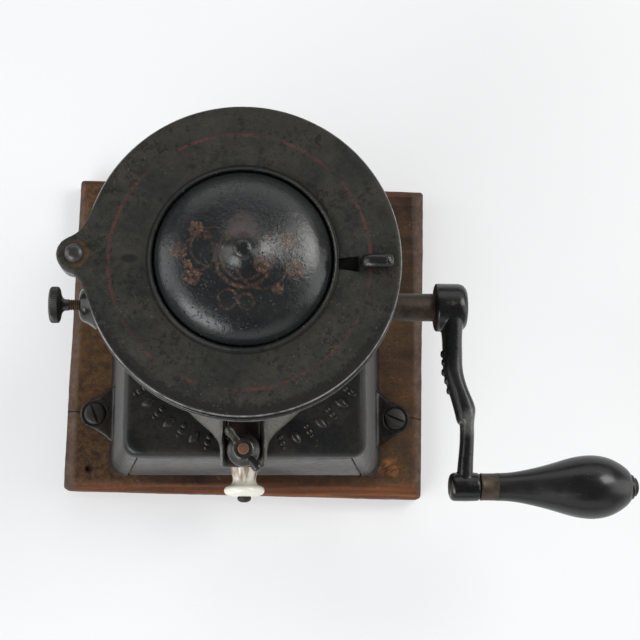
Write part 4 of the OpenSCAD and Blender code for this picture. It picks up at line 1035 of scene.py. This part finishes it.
def lid_piece():
    ear_way = math.atan2(EAR_Y - LID_Y, EAR_X - LID_X)
    turns, degrees = [], 0.0
    while degrees < 360:
        turns.append(math.radians(degrees) + ear_way)
        degrees += 0.6 if min(degrees, 360 - degrees) < EAR_SPAN else 2.5
    verts = [(LID_X, LID_Y, CROWN)]
    faces = []
    n = len(turns)
    line = lid_line()
    for r, height in line:
        share = min(1, max(0, (r - 66) / 10))
        for t in turns:
            bulge = ear_bulge(math.degrees(abs((t - ear_way + math.pi) % TAU - math.pi)))
            away = r + bulge * share
            z = height
            if height > LID_Z + 1:
                if bulge > 0 and r < 74.5:
                    z += (LID_TOP - z) * min(1, bulge / 8) * share
                z += wobble((away * math.cos(t), away * math.sin(t), 0), 0.05, 0.18)
            if r > 60:
                z = min(z, LID_TOP + 0.02)
            verts.append((LID_X + away * math.cos(t), LID_Y + away * math.sin(t), z))
    verts.append((LID_X, LID_Y, LID_Z + 17))
    last = 1 + (len(line) - 1) * n
    for j in range(n):
        k = (j + 1) % n
        faces.append((0, 1 + j, 1 + k))
        for a in range(1, last, n):
            faces.append((a + j, a + n + j, a + n + k, a + k))
        faces.append((last + j, len(verts) - 1, last + k))
    ob = solid("lid_casting", verts, faces, 40)
    cut(ob, rod("pin_hole", "Z", LID_Z - 2, LID_TOP + 2, PIN_R + 0.06, EAR, 40))
    # The thumb tab, a rounded lug lying along the brim: distance out, half width, low and high edge.
    shape = ((0, 1.2, 0.2, 1.8), (0.8, 2.4, -1, 3.6), (2.4, 3.3, -1.6, 5.2), (5, 3.6, -1.6, 6.3),
             (8, 3.6, -1.6, 6.9), (11, 3.6, -1.6, 7.2), (13.4, 3.4, -0.6, 7.2), (15, 2.8, 0.8, 6.6),
             (15.8, 1.7, 2.2, 5.6), (16, 0.7, 3.2, 4.6))
    rings = []
    for out, half_w, low, high in shape:
        x, middle, half_h = TAB_X + 0.2 + out, LID_TOP + (low + high) / 2, (high - low) / 2
        rings.append([(x, TAB_Y + u * half_w, middle + v * half_h) for u, v in squircle(28, 0.75, 0.75)])
    cut(ob, stack("tab", rings, angle=60), how="UNION")
    # The core mark between the dome and the tab.
    plan = ((45.4, -2.9), (54, -4.0), (54, 3.5), (45.4, 1.9))
    cut(ob, stack("mark", [[(x, TAB_Y + y, LID_TOP + z) for x, y in plan] for z in (-2.1, 1)]))
    shade(ob, 40)
    return dress(ob, "lid", lid_black, "lid")


def lid_pivot_pieces():
    seat = LID_TOP + 0.2
    ear_low = RIM_Z - 11
    head = ((4.5, 0), (4.75, 0.4), (4.7, 1.0), (4.2, 1.9), (3.2, 2.75), (2.1, 3.2), (1.2, 3.3), (0, 3.25))
    line = [(0, ear_low - 5.2), (2.7, ear_low - 5.2), (PIN_R, ear_low - 4.8), (PIN_R, seat)]
    pin = lathe("pivot_pin", line + [(r, seat + h) for r, h in head], EAR, steps=64)
    dress(pin, "stand", nut_iron, "lid_pivot")
    low = ear_low - 4.3
    hexagon = [(EAR_X + x, EAR_Y + y) for x, y in arc(6, 0, 360, 60)]
    nut = plate("pivot_nut", hexagon, low, low + 4.2, 0.5, angle=25)
    cut(nut, rod("nut_hole", "Z", low - 1, low + 6, PIN_R + 0.03, EAR, 32))
    shade(nut, 25)
    dress(nut, "stand", dark_iron, "lid_pivot_nut")


# ---------------------------------------------------------------- crank
def ease(t):
    t = min(1, max(0, t))
    return t * t * (3 - 2 * t)


def arm_centre(t):
    return 114.3 + 7.2 * ease((t - 0.33) / 0.32) - 1.9 * ease((t - 0.68) / 0.32)


def arm_piece():
    """The S-shaped arm; t runs from the shaft's hub, 0, to the grip's, 1."""
    rings = []
    for i in range(41):
        t = i / 40
        half_x = 6.6 - 1.5 * ease(t / 0.2) - 1.5 * ease((t - 0.6) / 0.06) + 0.6 * ease((t - 0.75) / 0.25)
        half_z = (11.8 - 3.2 * ease(t / 0.35) - 1.8 * ease((t - 0.35) / 0.5)
                  + 0.8 * max(0, 1 - abs(t - 0.625) / 0.025))
        twist = 2.6 * ease((t - 0.45) / 0.15) - 3.4 * ease((t - 0.62) / 0.05)
        rings.append([(arm_centre(t) + u * half_x, twist * u - CRANK_LEN * t, SHAFT_Z + v * half_z)
                      for u, v in squircle(36, 0.7, 0.7)])
    hub = [(0, HUB_LEFT), (12.6, HUB_LEFT), (HUB_R, HUB_LEFT + 0.8), (13.3, 118), (12.6, 120.4),
           (10.6, 122.2), (7.5, HUB_RIGHT), (0, HUB_RIGHT)]
    low_hub = [(0, GRIP_HUB_LEFT), (5, GRIP_HUB_LEFT), (6.9, 111.8), (GRIP_HUB_R, 113.4), (7.8, 120),
               (7.6, 126.6), (6.9, GRIP_HUB_RIGHT), (0, GRIP_HUB_RIGHT)]
    parts = [
        stack("arm", rings),
        lathe("hub", soften(hub, 0.8), SHAFT, "X"),
        lathe("low_hub", soften(low_hub, 0.6), GRIP, "X"),
    ]
    # Raised beads on the inner face.
    for i in range(5):
        y = -26 - i * 5.1
        x = arm_centre(-y / CRANK_LEN) - 5.1
        bead = [(0, x - 1.3), (1.3, x - 1.2), (2.0, x - 0.6), (2.1, x + 3), (0, x + 3)]
        parts.append(lathe("bead", bead, (0, y, SHAFT_Z + (1.8 if i % 2 else -1.2)), "X", 20))
    ob = cast(join("crank_casting", *parts), 0.5, 3, 0.5)
    cut(ob, rod("shaft_hole", "X", 100, 130, SHAFT_R + 0.02, SHAFT),
        rod("grip_hole", "X", 100, 135, PIN_R + 0.02, GRIP),
        rod("pin_hole", "Z", SHAFT_Z - 20, SHAFT_Z + 20, HUB_PIN_R + 0.02, (HUB_PIN_X, 0, 0), 24))
    shade(ob, 45)
    return dress(ob, "shaft", crank_black, "crank_arm")


def shaft_pieces():
    line = [(0, -58), (5.3, -58), (SHAFT_R, -57.7), (SHAFT_R, 53), (7.5, 53), (7.7, 53.3), (7.7, 104.6),
            (7.4, HUB_LEFT), (SHAFT_R, HUB_LEFT), (SHAFT_R, 122.0), (5.1, 122.4), (0, 122.4)]
    ob = lathe("main_shaft", soften(line, 0.15, 1), SHAFT, "X", 72)
    dress(ob, "shaft", shaft_rust, "crankshaft")
    low, high = SHAFT_Z - 13.2, SHAFT_Z + 13.2
    line = soften([(0, low), (HUB_PIN_R, low), (HUB_PIN_R, high), (0, high)], 0.4)
    dress(lathe("hub_pin", line, (HUB_PIN_X, 0, 0), steps=24), "shaft", screw_iron, "crank_pin")


def grip_pieces():
    bore = PIN_R + 0.08
    belly = [(7.5, 0.0), (7.8, 6), (8.8, 13), (10.6, 21.5), (12.9, 30), (15.1, 37.5), (16.5, 43.5),
             (GRIP_R, 50), (16.9, 55.5), (15.6, 61), (13.2, 66), (10.4, 70), (8.4, 71.9)]
    tip = [(7.0, 72.2), (6.9, 72.5), (7.0, 72.8), (6.6, 73.9), (5.8, GRIP_LEN)]
    line = [(bore, 0)] + curve(belly, 5) + tip + [(bore, GRIP_LEN), (bore, 0)]
    line = [(r, h + GRIP_LEFT) for r, h in line]
    dress(lathe("turned_grip", line, GRIP, "X", 96, 40), "grip", lacquer, "grip")
    a, b = GRIP_HUB_RIGHT + 0.3, GRIP_LEFT
    line = [(bore, a), (7.0, a), (7.4, a + 0.3), (7.45, a + 1.2), (7.3, a + 1.6), (7.35, b - 1.6),
            (7.5, b - 1.1), (7.5, b - 0.3), (7.3, b), (bore, b), (bore, a)]
    dress(lathe("brass_ferrule", line, GRIP, "X", 96, 30), "grip", ferrule_brass, "ferrule")
    end = GRIP_LEFT + GRIP_LEN
    line = [(0, 110.9), (2.6, 110.9), (PIN_R, 111.3), (PIN_R, end + 1.2), (4.3, end + 1.25),
            (4.3, end + 1.7), (3.2, end + 2.3), (0, end + 2.4)]
    dress(lathe("grip_rod", line, GRIP, "X", 48), "shaft", screw_iron, "handle_pin")


# ---------------------------------------------------------------- setting screw
def thumb_screw_piece():
    left, right, tip = -106.7, -100.7, -66.02
    neck = right + 4.2

    def knurl(r, h, turn):
        if r > 9.2 and left + 0.3 < h < right - 1:
            return r - 0.3 * abs(math.sin(turn * 30))
        return r

    line = [(0, left), (6.5, left), (9.0, left + 0.15), (9.6, left + 0.5), (9.95, left + 1.0),
            (10.0, left + 1.5), (10.0, right - 1.9), (9.8, right - 1.2), (8.8, right - 0.7),
            (6.6, right - 0.2), (4.6, right + 0.5), (3.7, right + 1.2), (3.2, right + 2.0), (3.1, neck)]
    x = neck + 0.1
    while x < tip - 1.6:
        line += [(3.0, x), (3.0, x + 0.3), (2.55, x + 0.62), (2.55, x + 0.78)]
        x += 1.1
    line += [(2.6, tip - 0.6), (2.0, tip), (0, tip)]
    ob = lathe("setting_screw", line, SHAFT, "X", 240, 30, knurl)
    dress(ob, "setting_screw", nut_iron, "thumb_screw")
    ob.data.materials.append(thread_brown)
    for face in ob.data.polygons:
        if face.center.x > neck * MM:
            face.material_index = 1


# ---------------------------------------------------------------- drawer
def front_y(z):
    return lean_at(FRONT_LEAN, z) - BOX_D / 2


def drawer_face():
    z0, z1, gap = 20.5, 67.6, 0.4
    slope = (DOOR_LOW - DOOR_HIGH) / 48
    rings = []
    for back, by in ((4, 0.5), (3.6, 0), (0.7, 0), (0.25, 0.2), (0, 0.7)):
        low = DOOR_LOW - slope * (z0 - 20) - gap - by
        high = DOOR_LOW - slope * (z1 - 20) - gap - by
        line = [(-low, z0 + by), (low, z0 + by), (high, z1 - by), (-high, z1 - by)]
        rings.append([(x, front_y(z) + back, z) for x, z in soften(line, 1.0, 2, loop=True)])
    ob = stack("drawer_face", rings, angle=30)
    cut(ob, rod("knob_hole", "Y", -100, -70, 2.1, KNOB, 32))
    shade(ob, 30)
    dress(ob, "drawer", box_black, "drawer_front")


def knob_pieces():
    base = front_y(KNOB_Z) - 0.6
    outside = [(8.4, 0), (8.1, 1.5), (7.6, 3.8), (7.1, 6.4), (7.2, 8.6), (8.5, 10.3), (10.5, 11.2),
               (11.7, 12.2), (12.1, 13.5), (11.8, 14.8), (10.8, 15.9), (9.0, 16.7), (6.8, 17.3),
               (5.0, 17.5)]
    line = [(2.1, 0)] + curve(outside, 4) + [(4.0, 17.5), (2.1, 17.5), (2.1, 0)]
    knob = lathe("china_knob", [(r, base - h) for r, h in line], KNOB, "Y", 96, 40)
    dress(knob, "drawer", porcelain, "porcelain_knob")
    seat = base - 17.5
    back = base + 10.6
    head = ((2.05, 0.05), (3.9, 0.05), (4.2, 0.5), (4.1, 1.2), (3.5, 2.2), (2.3, 2.9), (1.2, 3.1),
            (0, 3.15))
    line = [(0, back), (2.05, back)] + [(r, seat - h) for r, h in head]
    screw = lathe("knob_bolt", line, KNOB, "Y", 48)
    cut(screw, block("slot", (KNOB_X - 7, seat - 4, KNOB_Z - 0.6), (KNOB_X + 7, seat - 1.9, KNOB_Z + 0.6)))
    shade(screw, 32)
    dress(screw, "drawer", screw_iron, "knob_screw")


board_piece()
box_piece()
ornament_piece()
for name, x, y, turn, wide in (("left", *LUGS[0], 112, 1.6), ("right", *LUGS[1], -22, 1.6),
                               ("rear", 0, REAR_LUG_Y, 50, 1.3)):
    slotted("lug_screw_" + name, (x, y, LUG_TOP), 6.6, 2.6, turn, wide, screw_iron, "lug_screws")
slotted("corner_screw", (*CORNER_SCREW, 22.2), 3.6, 2.0, 30, 0.9, orange_rust, "board_screw")
hopper_piece()
stud_piece()
wing_nut_piece()
lid_piece()
lid_pivot_pieces()
arm_piece()
shaft_pieces()
grip_pieces()
thumb_screw_piece()
drawer_face()
knob_pieces()

# The pieces nobody sees keep their CAD shapes.
for material, nodes in (
    (bronze, ("bearing_bush",)),
    (burr_iron, ("feed_worm", "worm_pin", "turning_burr", "burr_pin", "ring_burr")),
    (screw_iron, ("ring_burr_screws", "handle_washer")),
    (spring_steel, ("burr_spring", "thrust_button")),
    (tin, ("drawer_tray",)),
    (dark_iron, ("drawer_rivets", "knob_nut", "knob_washer")),
):
    for node in nodes:
        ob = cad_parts[node]
        ob.data.materials.clear()
        ob.data.materials.append(material)


# ---------------------------------------------------------------- stage
def paper_look():
    k = Look("paper_floor")
    colour = k.mix(k.noise(3, 2), (0.48, 0.48, 0.485), (0.52, 0.52, 0.52))
    return k.finish(colour, 0.9, 0.0, Emission_Color=(0.98, 0.99, 1.0, 1), Emission_Strength=0.36)


corners = [(x * FLOOR_HALF, y * FLOOR_HALF, -0.2) for x, y in ((-1, -1), (1, -1), (1, 1), (-1, 1))]
floor = solid("floor", corners, [(0, 1, 2, 3)])
floor.data.materials.append(paper_look())


def area(name, place, size, power, colour):
    """A soft box aimed at the mill."""
    data = bpy.data.lights.new(name, "AREA")
    data.shape = "RECTANGLE"
    data.size, data.size_y = size
    data.energy = power
    data.color = colour
    ob = link(name, data)
    ob.location = place
    ob.rotation_euler = (Vector((0, 0, 0.08)) - Vector(place)).to_track_quat("-Z", "Y").to_euler()


area("key", (0.8, 0.35, 1.0), (0.5, 0.5), 7, (1, 0.99, 0.97))
area("front_left", (-0.7, -0.75, 0.8), (0.8, 0.6), 10, (0.98, 0.99, 1))
area("left", (-1.4, 0.1, 0.7), (1.0, 1.4), 10, (0.98, 0.99, 1))
area("right", (1.5, -0.1, 0.65), (1.0, 1.4), 9.5, (1, 1, 1))
area("back", (0.1, 1.1, 0.85), (2.2, 0.8), 7, (0.99, 0.99, 1))
area("front", (0.1, -1.3, 0.55), (2.0, 0.7), 3.7, (1, 1, 1))

world = bpy.data.worlds.new("studio")
bpy.context.scene.world = world
world.use_nodes = True
background = world.node_tree.nodes["Background"].inputs
background["Color"].default_value = (0.95, 0.97, 1, 1)
background["Strength"].default_value = 0.14

scene = bpy.context.scene
scene.view_settings.view_transform = "Standard"
scene.view_settings.look = "None"

camera = link("camera", bpy.data.cameras.new("camera"))
camera.data.sensor_width = 36
camera.data.lens = 76.05
camera.location = (0.0061, -0.1495, 0.8558)
camera.rotation_euler = (math.radians(10.979), math.radians(-2.726), math.radians(-0.123))
scene.camera = camera
